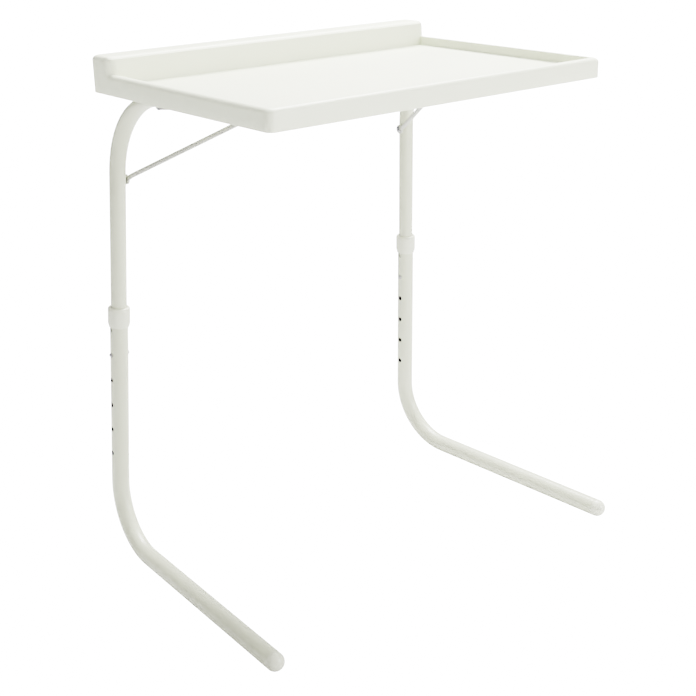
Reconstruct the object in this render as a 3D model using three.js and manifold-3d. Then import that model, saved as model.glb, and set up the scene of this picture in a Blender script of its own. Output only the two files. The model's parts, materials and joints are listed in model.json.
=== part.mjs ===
// Folding C-frame tray table: a moulded tray on two telescoping bent-tube legs.
// Millimetres, +Z up, +X to the right of somebody facing the open front.
// The origin is on the floor, midway between the legs and midway between toes and heels.

import * as THREE from 'three';
import { mergeVertices } from 'three/addons/utils/BufferGeometryUtils.js';
import Module from 'manifold-3d';

const wasm = await Module();
wasm.setup();

// ---------------------------------------------------------------- driving dimensions

// Tray moulding.
const TRAY_WIDTH = 546;
const TRAY_DEPTH = 390;
const SKIRT_HEIGHT = 26;
const RIM_RISE = 12.5;
const RIM_WIDTH = 10;
const RIM_EDGE = 8;
const WALL = 3;
const DECK = 3;
const CORNER_RADIUS = 9;
const LEDGE_RISE = 22;
const LEDGE_DEPTH = 44;
const LEDGE_CORNER = 10;
const LEDGE_EDGE = 6;
const RECESS_CORNER = 7;
const DECK_FILLET = 3;
const HOLLOW_EDGE = 1;
const LEDGE_HOLLOW_EDGE = 2;
const RIB = 2;
const RIB_DROP = 7;
const RIB_END_ROOM = 4;
const RIB_OFFSET = 200;
const RIBS_FROM_FRONT = [50, 195];
const RIB_FROM_LEDGE = 46;
const PILOT_INTO_DECK = 1;

// Tubes: the upper one telescopes in the lower one.
const LOWER_RADIUS = 12.7;
const UPPER_RADIUS = 11.1;
const TUBE_WALL = 1.2;
const TUBE_PLAY = 0.4;
const LOWER_BEND = 86;
const UPPER_BEND = 116;
const ARM_SQUEEZE = 0.28;
const FOOT_LENGTH = 415;
const LOWER_POST = 326;
const UPPER_POST = 368;
const UPPER_TAIL = 26;
const ARM_REACH = 123.5;
const HINGE_FROM_FRONT = 240;
const LEAN = 0.062;
const SPLAY = 0.0465;
const TOE_OUT = THREE.MathUtils.degToRad(3);

// Height holes and the sprung buttons that lock in them.
const HOLE_PITCH = 38.1;
const HOLE_COUNT = 6;
const HOLE_IN_USE = 2;
const BUTTON_RADIUS = 2.9;
const BUTTON_PROUD = 2.6;
const BUTTON_ROOT = 5;
const BUTTON_FLANGE = 1;
const BUTTON_FLANGE_RIM = 1;
const BUTTON_DOME = [[1, 1.6], [0.85, 0.7], [0.45, 0.12]];
const SPRING_STRIP = 0.6;
const SPRING_WIDTH = 8;
const SPRING_BELOW = 21;
const SPRING_ABOVE = 5;

// Plastic fittings on the tubes.
const COLLAR_WALL = 2.5;
const COLLAR_HEIGHT = 29;
const COLLAR_LIP = 3;
const COLLAR_LEAD_IN = [1.1, 2.4];
const COLLAR_SHOULDER = [[0, 4.5], [0.5, 2.2], [2.2, 0]];
const COLLAR_ABOVE_HOLE = 3.6;
const CAP_RING = 3;
const CAP_SPIGOT = 18;
const SPIGOT_CHAMFER = 1;
const KNUCKLE_NECK = 12.5;
const KNUCKLE_SPIGOT = 8;
const KNUCKLE_FLANGE = 2;
const KNUCKLE_SIDE_ROOM = 0.6;
const KNUCKLE_NECK_WIDE = 0.8;
const KNUCKLE_NECK_HIGH = 0.6;
const KNUCKLE_SPIGOT_PLAY = 0.9;

// Hinge bracket under the tray.
const HINGE_SIDE_ROOM = 6.4;
const PLATE = 2;
const PLATE_TO_ARM = 2;
const EAR_RADIUS = 7.8;
const EAR_SHOULDER = [1.6, 0.75];
const EAR_TURN = [-0.7, 0.72];
const PIN_RADIUS = 3;
const PIN_HEAD = 1.6;
const PIN_HEAD_RADIUS = 5;
const PIN_CROWN = 0.6;
const PIN_HEAD_EDGE = 0.3;
const BOSS_DROP = 8;
const BOSS_RADIUS = 5;
const BRACKET_LENGTH = 45;
const BRACKET_SCREWS = [24, 37];

// Tilt bail and the notched racks that its cross bar rests in.
const BAIL_RADIUS = 3.3;
const BAIL_EYE = 7;
const BAIL_EYE_THICKNESS = 3;
const BAIL_PIVOT_DROP = 119;
const BAIL_TONGUE = 13;
const BAIL_ROD_IN_EYE = 0.8;
const BAR_FROM_FRONT = 146.5;
const BAR_HALF_LENGTH = 137;
const BAR_BELOW_DECK = 6.5;
const BAIL_CORNER = 12;
const RACK_OFFSET = 80;
const RACK_WIDTH = 16;
const NOTCH_PITCH = 12;
const NOTCH_COUNT = 3;
const RACK_SHOULDER = 10;
const RACK_TAB = 20;
const RACK_DROP = 12;
const RIVET_RADIUS = 2.4;
const RIVET_HEAD = 1.8;
const RIVET_HEAD_RADIUS = 4.6;
const RIVET_CROWN = [[1, 0], [0.8, 0.7], [0.4, 1], [0, 1]];
const RIVET_SEAT = 0.8;
const RIVET_BULB = [[0.2, 3], [1.1, 1.6], [0, 0.3]];

// Screws.
const SCREW_RADIUS = 1.8;
const SCREW_LENGTH = 8;
const SCREW_HEAD_RADIUS = 3.6;
const SCREW_HEAD = 2.2;
const SCREW_CROWN = 0.55;
const SCREW_HEAD_EDGE = 0.35;
const SCREW_POINT = 1.5;

// Fits.
const GAP = 0.3;
const HINGE_PLAY = 0.4;
const HOLE_PLAY = 0.4;
const CUT_PAST = 1;

// Facets round a full circle.
const TUBE_SIDES = 20;
const SMALL_SIDES = 10;
const BEND_STEPS = 7;
const CORNER_FACETS = 4;
const EDGE_FACETS = 2;
const RIM_FACETS = 4;
const DOME_RINGS = 5;

// ---------------------------------------------------------------- worked-out places

const UP = new THREE.Vector3(0, 0, 1);
const SIDEWAYS = new THREE.Vector3(1, 0, 0);
const SIDES = { left: -1, right: 1 };

const lowerBore = UPPER_RADIUS + TUBE_PLAY;
const lowerWall = LOWER_RADIUS - lowerBore;
const upperBore = UPPER_RADIUS - TUBE_WALL;
const collarRadius = LOWER_RADIUS + GAP + COLLAR_WALL;
const postScale = 1 / Math.hypot(LEAN, SPLAY, 1);
const postLength = LOWER_POST - HOLE_PITCH * (HOLE_IN_USE - 1) + UPPER_POST;
const armHeight = LOWER_RADIUS + postLength * postScale;
const armHalf = UPPER_RADIUS * (1 - ARM_SQUEEZE);
const deckUnder = armHeight + Math.max(armHalf + HINGE_PLAY, EAR_RADIUS + GAP);
const deckTop = deckUnder + DECK;
const rimTop = deckTop + RIM_RISE;
const skirtBottom = rimTop - SKIRT_HEIGHT;
const armX = TRAY_WIDTH / 2 - WALL - HINGE_SIDE_ROOM - UPPER_RADIUS;
const armCornerY = HINGE_FROM_FRONT + ARM_REACH;
const heelX = armX + SPLAY * (armHeight - LOWER_RADIUS);
const heelY = armCornerY + LEAN * (armHeight - LOWER_RADIUS);
const bossBottom = deckUnder - BOSS_DROP;
const barHeight = deckUnder - BAR_BELOW_DECK;
const bailPivotHeight = armHeight - BAIL_PIVOT_DROP;
const bailPivotY = armCornerY + LEAN * BAIL_PIVOT_DROP;
const bailPivotX = armX + SPLAY * BAIL_PIVOT_DROP;
const eyeStandoff = UPPER_RADIUS / postScale + BAIL_EYE * SPLAY + 2 * GAP;

// ---------------------------------------------------------------- solid helpers

function solidFrom(geometry) {
  const bare = geometry.clone();
  bare.deleteAttribute('normal');
  bare.deleteAttribute('uv');
  const merged = mergeVertices(bare, 1e-4);
  return new wasm.Manifold(new wasm.Mesh({
    numProp: 3,
    vertProperties: new Float32Array(merged.attributes.position.array),
    triVerts: new Uint32Array(merged.index.array),
  }));
}

function geometryFrom(solid) {
  const mesh = solid.getMesh();
  const geometry = new THREE.BufferGeometry();
  geometry.setAttribute('position', new THREE.BufferAttribute(mesh.vertProperties, 3));
  geometry.setIndex(new THREE.BufferAttribute(mesh.triVerts, 1));
  geometry.computeVertexNormals();
  return geometry;
}

function join(first, ...others) {
  return geometryFrom(others.reduce((sum, other) => sum.add(solidFrom(other)), solidFrom(first)));
}

function cut(first, ...tools) {
  return geometryFrom(tools.reduce((rest, tool) => rest.subtract(solidFrom(tool)), solidFrom(first)));
}

// Turns a shape made along +Y so that it points along an axis, and moves it to a point.
function aimed(geometry, at, axis) {
  const turn = new THREE.Quaternion().setFromUnitVectors(new THREE.Vector3(0, 1, 0), axis);
  return geometry.applyQuaternion(turn).translate(at.x, at.y, at.z);
}

// A rod from one point to another.
function rod(from, to, radius, sides = SMALL_SIDES) {
  const along = to.clone().sub(from);
  const length = along.length();
  const middle = from.clone().addScaledVector(along, 0.5);
  return aimed(new THREE.CylinderGeometry(radius, radius, length, sides), middle, along.divideScalar(length));
}

// A turned piece: the profile is a list of [radius, height along the axis].
function turned(profile, at, axis, sides = TUBE_SIDES) {
  const points = profile.map(([radius, height]) => new THREE.Vector2(radius, height));
  return aimed(new THREE.LatheGeometry(points, sides), at, axis);
}

function block(low, high) {
  const size = high.clone().sub(low);
  const middle = low.clone().addScaledVector(size, 0.5);
  return new THREE.BoxGeometry(size.x, size.y, size.z).translate(middle.x, middle.y, middle.z);
}

function roundedRectangle(left, front, right, back, radius) {
  const shape = new THREE.Shape();
  const quarter = Math.PI / 2;
  shape.absarc(right - radius, front + radius, radius, -quarter, 0);
  shape.absarc(right - radius, back - radius, radius, 0, quarter);
  shape.absarc(left + radius, back - radius, radius, quarter, 2 * quarter);
  shape.absarc(left + radius, front + radius, radius, 2 * quarter, 3 * quarter);
  return shape;
}

// A slab with rounded corners in plan and rounded upper and lower edges.
function softSlab(outline, bottom, top, edge, facets = EDGE_FACETS) {
  const slab = new THREE.ExtrudeGeometry(outline, {
    depth: top - bottom - 2 * edge,
    bevelThickness: edge,
    bevelSize: edge,
    bevelOffset: -edge,
    bevelSegments: facets,
    curveSegments: CORNER_FACETS,
  });
  return slab.translate(0, 0, bottom + edge);
}

// Straight runs joined by round bends, with stations only where the shape needs them.
class BentPath extends THREE.Curve {
  constructor(corners, radii) {
    super();
    this.stations = [];
    const last = corners.length - 1;
    const heading = (i) => corners[i + 1].clone().sub(corners[i]).normalize();
    this.stations.push({ point: corners[0].clone(), tangent: heading(0) });
    for (let i = 1; i < last; i += 1) this.addBend(corners[i], heading(i - 1), heading(i), radii[i - 1]);
    this.stations.push({ point: corners[last].clone(), tangent: heading(last - 1) });
  }

  addBend(corner, before, after, radius) {
    const turn = before.angleTo(after);
    const reach = radius * Math.tan(turn / 2);
    const start = corner.clone().addScaledVector(before, -reach);
    const inward = after.clone().addScaledVector(before, -before.dot(after)).normalize();
    for (let step = 0; step <= BEND_STEPS; step += 1) {
      const angle = (turn * step) / BEND_STEPS;
      const point = start.clone()
        .addScaledVector(before, radius * Math.sin(angle))
        .addScaledVector(inward, radius * (1 - Math.cos(angle)));
      const tangent = before.clone().multiplyScalar(Math.cos(angle)).addScaledVector(inward, Math.sin(angle));
      this.stations.push({ point, tangent });
    }
  }

  station(u) {
    return this.stations[Math.round(u * (this.stations.length - 1))];
  }

  getPointAt(u) {
    return this.station(u).point.clone();
  }

  getTangentAt(u) {
    return this.station(u).tangent.clone();
  }
}

// A round bar along a bent path.
function swept(corners, radii, radius, sides) {
  const path = new BentPath(corners, radii);
  const section = new THREE.Shape();
  for (let i = 0; i < sides; i += 1) {
    const angle = (2 * Math.PI * i) / sides;
    const x = radius * Math.cos(angle);
    const y = radius * Math.sin(angle);
    if (i === 0) section.moveTo(x, y);
    else section.lineTo(x, y);
  }
  return new THREE.ExtrudeGeometry(section, { extrudePath: path, steps: path.stations.length - 1 });
}

// A bent tube, open at both ends. Its wall may be reshaped before the bore is cut.
function bentTube(corners, radii, radius, wall, reshape = (geometry) => geometry) {
  const last = corners.length - 1;
  const longer = corners.map((corner) => corner.clone());
  longer[0].add(corners[0].clone().sub(corners[1]).normalize());
  longer[last].add(corners[last].clone().sub(corners[last - 1]).normalize());
  const bore = swept(longer, radii, radius - wall, TUBE_SIDES);
  return cut(reshape(swept(corners, radii, radius, TUBE_SIDES)), reshape(bore));
}

// ---------------------------------------------------------------- finishes

function finish(color, roughness, metalness = 0) {
  return () => new THREE.MeshStandardMaterial({ color, roughness, metalness });
}

const trayPlastic = finish(0xf2f3ee, 0.42);
const fittingPlastic = finish(0xe9ebe6, 0.35);
const hiddenPlastic = finish(0xdfe0da, 0.5);
const powderCoat = finish(0xdbdcd3, 0.45);
const bailCoat = finish(0xd2d3cb, 0.45);
const zincPlate = finish(0xb9bbb8, 0.35, 0.9);
const springSteel = finish(0x8d8f90, 0.35, 0.9);

const table = new THREE.Group();

function addPiece(name, geometry, material, parent = table) {
  const mesh = new THREE.Mesh(geometry, material());
  mesh.name = name;
  parent.add(mesh);
  return mesh;
}

// ---------------------------------------------------------------- the legs' geometry

// Directions and places that one side's pieces share.
function legOf(side) {
  const post = new THREE.Vector3(-side * SPLAY, -LEAN, 1).normalize();
  const toe = new THREE.Vector3(side * Math.sin(TOE_OUT), -Math.cos(TOE_OUT), 0);
  const heel = new THREE.Vector3(side * heelX, heelY, LOWER_RADIUS);
  const outward = new THREE.Vector3().crossVectors(post, toe).normalize().multiplyScalar(side);
  const onPost = (distance) => heel.clone().addScaledVector(post, distance);
  const button = onPost(LOWER_POST - HOLE_PITCH * (HOLE_IN_USE - 1));
  const armCorner = new THREE.Vector3(side * armX, armCornerY, armHeight);
  const hinge = new THREE.Vector3(side * armX, HINGE_FROM_FRONT, armHeight);
  const bailPivot = new THREE.Vector3(side * bailPivotX, bailPivotY, bailPivotHeight);
  return { side, post, toe, heel, outward, onPost, button, armCorner, hinge, bailPivot };
}

// Lower tube: a long foot on the floor, a wide bend and a post with paired height holes.
function lowerTube(leg) {
  const footEnd = leg.heel.clone().addScaledVector(leg.toe, FOOT_LENGTH - CAP_RING - GAP);
  const top = leg.onPost(LOWER_POST + COLLAR_ABOVE_HOLE + COLLAR_HEIGHT - COLLAR_LIP - GAP);
  const tube = bentTube([footEnd, leg.heel, top], [LOWER_BEND], LOWER_RADIUS, lowerWall);
  const reach = LOWER_RADIUS + CUT_PAST;
  const drills = [];
  for (let hole = 0; hole < HOLE_COUNT; hole += 1) {
    const centre = leg.onPost(LOWER_POST - HOLE_PITCH * hole);
    const from = centre.clone().addScaledVector(leg.outward, -reach);
    const to = centre.clone().addScaledVector(leg.outward, reach);
    drills.push(rod(from, to, BUTTON_RADIUS + HOLE_PLAY));
  }
  return cut(tube, ...drills);
}

// Squeezes what follows the upper tube's bend: round on the post, flat and wide at the hinge.
function squeezed(leg, geometry) {
  const arm = new THREE.Vector3(0, -1, 0);
  const turn = leg.post.angleTo(arm);
  const inward = arm.clone().addScaledVector(leg.post, -leg.post.dot(arm)).normalize();
  const across = new THREE.Vector3().crossVectors(leg.post, inward);
  const centre = leg.armCorner.clone()
    .addScaledVector(leg.post, -UPPER_BEND * Math.tan(turn / 2))
    .addScaledVector(inward, UPPER_BEND);
  const { position } = geometry.attributes;
  for (let i = 0; i < position.count; i += 1) {
    const point = new THREE.Vector3().fromBufferAttribute(position, i);
    const spoke = point.clone().sub(centre);
    const angle = Math.min(Math.max(Math.atan2(spoke.dot(leg.post), -spoke.dot(inward)), 0), turn);
    const outward = inward.clone()
      .multiplyScalar(-Math.cos(angle))
      .addScaledVector(leg.post, Math.sin(angle));
    const share = ARM_SQUEEZE * THREE.MathUtils.smoothstep(angle / turn, 0, 1);
    point.addScaledVector(outward, -share * (spoke.dot(outward) - UPPER_BEND));
    point.addScaledVector(across, share * spoke.dot(across));
    position.setXYZ(i, point.x, point.y, point.z);
  }
  return geometry;
}

// Upper tube: slides in the lower one, bends forward under the tray and ends at the hinge.
function upperTube(leg) {
  const tail = leg.button.clone().addScaledVector(leg.post, -UPPER_TAIL);
  const armEnd = leg.hinge.clone().setY(leg.hinge.y + KNUCKLE_NECK + GAP);
  const flatten = (geometry) => squeezed(leg, geometry);
  const tube = bentTube([tail, leg.armCorner, armEnd], [UPPER_BEND], UPPER_RADIUS, TUBE_WALL, flatten);
  const reach = UPPER_RADIUS + CUT_PAST;
  const buttonDrill = rod(
    leg.button.clone().addScaledVector(leg.outward, -reach),
    leg.button.clone().addScaledVector(leg.outward, reach),
    BUTTON_RADIUS + HOLE_PLAY,
  );
  const inner = leg.bailPivot.clone().addScaledVector(SIDEWAYS, -leg.side * reach);
  const rivetDrill = rod(leg.bailPivot, inner, RIVET_RADIUS + GAP);
  return cut(tube, buttonDrill, rivetDrill);
}

// Collar: covers the top of the lower tube and steadies the upper one.
function collar(leg) {
  const inner = LOWER_RADIUS + GAP;
  const lip = UPPER_RADIUS + HINGE_PLAY;
  const shoulder = COLLAR_HEIGHT - COLLAR_LIP;
  const profile = [
    [inner, 0],
    [collarRadius - COLLAR_LEAD_IN[0], 0],
    [collarRadius, COLLAR_LEAD_IN[1]],
    ...COLLAR_SHOULDER.map(([inset, drop]) => [collarRadius - inset, COLLAR_HEIGHT - drop]),
    [lip, COLLAR_HEIGHT],
    [lip, shoulder],
    [inner, shoulder],
    [inner, 0],
  ];
  return turned(profile, leg.onPost(LOWER_POST + COLLAR_ABOVE_HOLE), leg.post);
}

// Foot cap: a domed plug, as wide as the tube, with a spigot in its bore.
function footCap(leg) {
  const spigot = lowerBore - GAP;
  const profile = [[0, -CAP_RING - CAP_SPIGOT]];
  profile.push([spigot - SPIGOT_CHAMFER, -CAP_RING - CAP_SPIGOT]);
  profile.push([spigot, -CAP_RING - CAP_SPIGOT + SPIGOT_CHAMFER]);
  profile.push([spigot, -CAP_RING]);
  profile.push([LOWER_RADIUS, -CAP_RING]);
  for (let i = 0; i < DOME_RINGS; i += 1) {
    const angle = (Math.PI / 2) * (i / DOME_RINGS);
    profile.push([LOWER_RADIUS * Math.cos(angle), LOWER_RADIUS * Math.sin(angle)]);
  }
  profile.push([0, LOWER_RADIUS]);
  return turned(profile, leg.heel.clone().addScaledVector(leg.toe, FOOT_LENGTH), leg.toe);
}

// Hinge knuckle: a plug in the arm's end with a round eye for the hinge pin.
function hingeKnuckle(leg) {
  const backward = new THREE.Vector3(0, 1, 0);
  const start = leg.hinge;
  const halfWidth = UPPER_RADIUS - KNUCKLE_SIDE_ROOM;
  const eye = rod(
    start.clone().setX(start.x - halfWidth),
    start.clone().setX(start.x + halfWidth),
    armHalf,
    TUBE_SIDES,
  );
  const neckWide = halfWidth * KNUCKLE_NECK_WIDE;
  const neckHigh = armHalf * KNUCKLE_NECK_HIGH;
  const neck = block(
    new THREE.Vector3(start.x - neckWide, start.y, start.z - neckHigh),
    new THREE.Vector3(start.x + neckWide, start.y + KNUCKLE_NECK, start.z + neckHigh),
  );
  const flangeStart = start.clone().addScaledVector(backward, KNUCKLE_NECK - KNUCKLE_FLANGE);
  const flangeEnd = start.clone().addScaledVector(backward, KNUCKLE_NECK);
  const flange = squeezed(leg, rod(flangeStart, flangeEnd, UPPER_RADIUS, TUBE_SIDES));
  const spigotEnd = start.clone().addScaledVector(backward, KNUCKLE_NECK + KNUCKLE_SPIGOT);
  const spigot = squeezed(leg, rod(flangeStart, spigotEnd, upperBore - KNUCKLE_SPIGOT_PLAY, TUBE_SIDES));
  const bore = rod(
    start.clone().setX(start.x - UPPER_RADIUS),
    start.clone().setX(start.x + UPPER_RADIUS),
    PIN_RADIUS + GAP,
  );
  return cut(join(eye, neck, flange, spigot), bore);
}

// Snap button: a domed pin on a flange, one on each face of the post.
function snapButton(leg, facing) {
  const tip = LOWER_RADIUS + BUTTON_PROUD;
  const flangeRadius = BUTTON_RADIUS + BUTTON_FLANGE_RIM;
  const profile = [
    [0, BUTTON_ROOT],
    [flangeRadius, BUTTON_ROOT],
    [flangeRadius, BUTTON_ROOT + BUTTON_FLANGE],
    [BUTTON_RADIUS, BUTTON_ROOT + BUTTON_FLANGE],
    ...BUTTON_DOME.map(([share, drop]) => [BUTTON_RADIUS * share, tip - drop]),
    [0, tip],
  ];
  return turned(profile, leg.button, leg.outward.clone().multiplyScalar(facing), SMALL_SIDES);
}

// Snap spring: a hairpin of flat spring steel that pushes both buttons out.
function snapSpring(leg) {
  const outer = BUTTON_ROOT - GAP;
  const inner = outer - SPRING_STRIP;
  const shape = new THREE.Shape();
  shape.moveTo(outer, SPRING_ABOVE);
  shape.lineTo(inner, SPRING_ABOVE);
  shape.lineTo(inner, outer - SPRING_BELOW);
  shape.absarc(0, outer - SPRING_BELOW, inner, 0, -Math.PI, true);
  shape.lineTo(-inner, SPRING_ABOVE);
  shape.lineTo(-outer, SPRING_ABOVE);
  shape.lineTo(-outer, outer - SPRING_BELOW);
  shape.absarc(0, outer - SPRING_BELOW, outer, Math.PI, 2 * Math.PI, false);
  shape.closePath();
  const strip = new THREE.ExtrudeGeometry(shape, {
    depth: SPRING_WIDTH, bevelEnabled: false, curveSegments: CORNER_FACETS,
  }).translate(0, 0, -SPRING_WIDTH / 2);
  const across = new THREE.Vector3().crossVectors(leg.outward, leg.post);
  const turn = new THREE.Matrix4().makeBasis(leg.outward, leg.post, across);
  return strip.applyMatrix4(turn).translate(leg.button.x, leg.button.y, leg.button.z);
}

// ---------------------------------------------------------------- the hinge under the tray

const earInner = UPPER_RADIUS + HINGE_PLAY;
const earOuter = earInner + PLATE;

// Hinge bracket: a flat plate on two bosses, with an ear down each side of the arm.
function hingeBracket(leg) {
  const { hinge } = leg;
  const plateTop = bossBottom - GAP;
  const front = hinge.y - BRACKET_LENGTH;
  const outline = new THREE.Shape();
  outline.moveTo(front, plateTop - hinge.z);
  outline.lineTo(front, plateTop - hinge.z - PLATE);
  outline.lineTo(hinge.y - EAR_RADIUS * EAR_SHOULDER[0], -EAR_RADIUS * EAR_SHOULDER[1]);
  outline.absarc(hinge.y, 0, EAR_RADIUS, Math.PI * EAR_TURN[0], Math.PI * EAR_TURN[1]);
  outline.closePath();
  const ears = [earInner, -earOuter].map((start) => {
    const ear = new THREE.ExtrudeGeometry(outline, {
      depth: PLATE, bevelEnabled: false, curveSegments: SMALL_SIDES,
    });
    const turn = new THREE.Matrix4().makeBasis(new THREE.Vector3(0, 1, 0), UP, SIDEWAYS);
    return ear.applyMatrix4(turn).translate(hinge.x + start, 0, hinge.z);
  });
  const plate = block(
    new THREE.Vector3(hinge.x - earOuter, front, plateTop - PLATE),
    new THREE.Vector3(hinge.x + earOuter, hinge.y - UPPER_RADIUS - PLATE_TO_ARM, plateTop),
  );
  const pinDrill = rod(
    hinge.clone().setX(hinge.x - earOuter - CUT_PAST),
    hinge.clone().setX(hinge.x + earOuter + CUT_PAST),
    PIN_RADIUS + GAP,
  );
  const screwDrills = BRACKET_SCREWS.map((back) => rod(
    new THREE.Vector3(hinge.x, hinge.y - back, plateTop - PLATE - CUT_PAST),
    new THREE.Vector3(hinge.x, hinge.y - back, plateTop + CUT_PAST),
    SCREW_RADIUS + GAP,
  ));
  return cut(join(plate, ...ears), pinDrill, ...screwDrills);
}

// Hinge pin: a rivet through both ears, headed at each end.
function hingePin(leg) {
  const half = earOuter + GAP;
  const profile = [
    [0, -half - PIN_HEAD],
    [PIN_HEAD_RADIUS * PIN_CROWN, -half - PIN_HEAD],
    [PIN_HEAD_RADIUS, -half - PIN_HEAD * PIN_HEAD_EDGE],
    [PIN_HEAD_RADIUS, -half],
    [PIN_RADIUS, -half],
    [PIN_RADIUS, half],
    [PIN_HEAD_RADIUS, half],
    [PIN_HEAD_RADIUS, half + PIN_HEAD * PIN_HEAD_EDGE],
    [PIN_HEAD_RADIUS * PIN_CROWN, half + PIN_HEAD],
    [0, half + PIN_HEAD],
  ];
  return turned(profile, leg.hinge, SIDEWAYS, SMALL_SIDES);
}

// Pan-head screw driven upward into a boss.
function screw(x, y, seat) {
  const profile = [
    [0, -SCREW_HEAD],
    [SCREW_HEAD_RADIUS * SCREW_CROWN, -SCREW_HEAD],
    [SCREW_HEAD_RADIUS, -SCREW_HEAD * SCREW_HEAD_EDGE],
    [SCREW_HEAD_RADIUS, 0],
    [SCREW_RADIUS, 0],
    [SCREW_RADIUS, SCREW_LENGTH - SCREW_POINT],
    [0, SCREW_LENGTH],
  ];
  return turned(profile, new THREE.Vector3(x, y, seat - GAP), UP, SMALL_SIDES);
}

// ---------------------------------------------------------------- the tilt bail

// Tilt bail: one bent rod, pivoted on both posts, whose cross bar drops in the racks.
function tiltBail() {
  const eyes = [];
  const corners = [];
  const perSide = {};
  for (const side of [-1, 1]) {
    const { bailPivot } = legOf(side);
    const eyeX = bailPivotX - eyeStandoff - BAIL_EYE_THICKNESS / 2;
    const eye = new THREE.Vector3(side * eyeX, bailPivot.y, bailPivot.z);
    const barEnd = new THREE.Vector3(side * BAR_HALF_LENGTH, BAR_FROM_FRONT, barHeight);
    const climb = new THREE.Vector3(0, barEnd.y - eye.y, barEnd.z - eye.z).normalize();
    // The rod lies flush with the eye's outer face, so that it clears the post as it swings.
    const root = eye.clone().setX(side * (eyeX - (BAIL_RADIUS - BAIL_EYE_THICKNESS / 2)));
    const tongue = root.clone().addScaledVector(climb, BAIL_TONGUE);
    perSide[side] = [root.clone().addScaledVector(climb, BAIL_EYE * BAIL_ROD_IN_EYE), tongue, barEnd];
    const half = new THREE.Vector3(BAIL_EYE_THICKNESS / 2, 0, 0);
    const disc = rod(eye.clone().sub(half), eye.clone().add(half), BAIL_EYE, TUBE_SIDES);
    const drill = rod(
      eye.clone().addScaledVector(half, -2),
      eye.clone().addScaledVector(half, 2),
      RIVET_RADIUS + GAP,
    );
    eyes.push(cut(disc, drill));
  }
  corners.push(...perSide[-1], ...perSide[1].reverse());
  const bends = corners.slice(2).map(() => BAIL_CORNER);
  const rodShape = swept(corners, bends, BAIL_RADIUS, SMALL_SIDES);
  return join(rodShape, ...eyes);
}

// Bail rivet: a blind rivet through the post's inner wall that carries the bail's eye.
function bailRivet(leg) {
  const eyeEnd = eyeStandoff + BAIL_EYE_THICKNESS + GAP;
  const wallIn = upperBore - RIVET_SEAT;
  const profile = [
    [0, wallIn - RIVET_BULB[0][1]],
    ...RIVET_BULB.map(([bulge, back]) => [RIVET_RADIUS + bulge, wallIn - back]),
    [RIVET_RADIUS, eyeEnd],
    ...RIVET_CROWN.map(([share, rise]) => [RIVET_HEAD_RADIUS * share, eyeEnd + RIVET_HEAD * rise]),
  ];
  return turned(profile, leg.bailPivot, SIDEWAYS.clone().multiplyScalar(-leg.side), SMALL_SIDES);
}

const notchRadius = BAIL_RADIUS + HINGE_PLAY;
const notchYs = Array.from({ length: NOTCH_COUNT }, (_, i) => BAR_FROM_FRONT - NOTCH_PITCH * i);
const rackBack = BAR_FROM_FRONT + RACK_SHOULDER;
const rackFront = notchYs[NOTCH_COUNT - 1] - RACK_SHOULDER;
const rackScrewYs = [rackFront - RACK_TAB / 2, rackBack + RACK_TAB / 2];
const rackTabTop = bossBottom - GAP;

// Notched rack: three downward notches, one for each tray angle, between two screw tabs.
function notchRack(x) {
  const half = RACK_WIDTH / 2;
  const body = block(
    new THREE.Vector3(x - half, rackFront, deckUnder - RACK_DROP),
    new THREE.Vector3(x + half, rackBack, deckUnder - GAP),
  );
  const tabs = block(
    new THREE.Vector3(x - half, rackFront - RACK_TAB, rackTabTop - PLATE),
    new THREE.Vector3(x + half, rackBack + RACK_TAB, rackTabTop),
  );
  const notches = notchYs.flatMap((y) => [
    rod(
      new THREE.Vector3(x - half - CUT_PAST, y, barHeight),
      new THREE.Vector3(x + half + CUT_PAST, y, barHeight),
      notchRadius,
    ),
    block(
      new THREE.Vector3(x - half - CUT_PAST, y - notchRadius, deckUnder - RACK_DROP - CUT_PAST),
      new THREE.Vector3(x + half + CUT_PAST, y + notchRadius, barHeight),
    ),
  ]);
  const drills = rackScrewYs.map((y) => rod(
    new THREE.Vector3(x, y, rackTabTop - PLATE - CUT_PAST),
    new THREE.Vector3(x, y, rackTabTop + CUT_PAST),
    SCREW_RADIUS + GAP,
  ));
  return cut(join(body, tabs), ...notches, ...drills);
}

// ---------------------------------------------------------------- the tray

const screwSpots = [];
for (const side of [-1, 1]) {
  for (const back of BRACKET_SCREWS) {
    screwSpots.push({ x: side * armX, y: HINGE_FROM_FRONT - back, seat: bossBottom - GAP - PLATE });
  }
}
for (const side of [-1, 1]) {
  for (const y of rackScrewYs) screwSpots.push({ x: side * RACK_OFFSET, y, seat: rackTabTop - PLATE });
}

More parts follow.
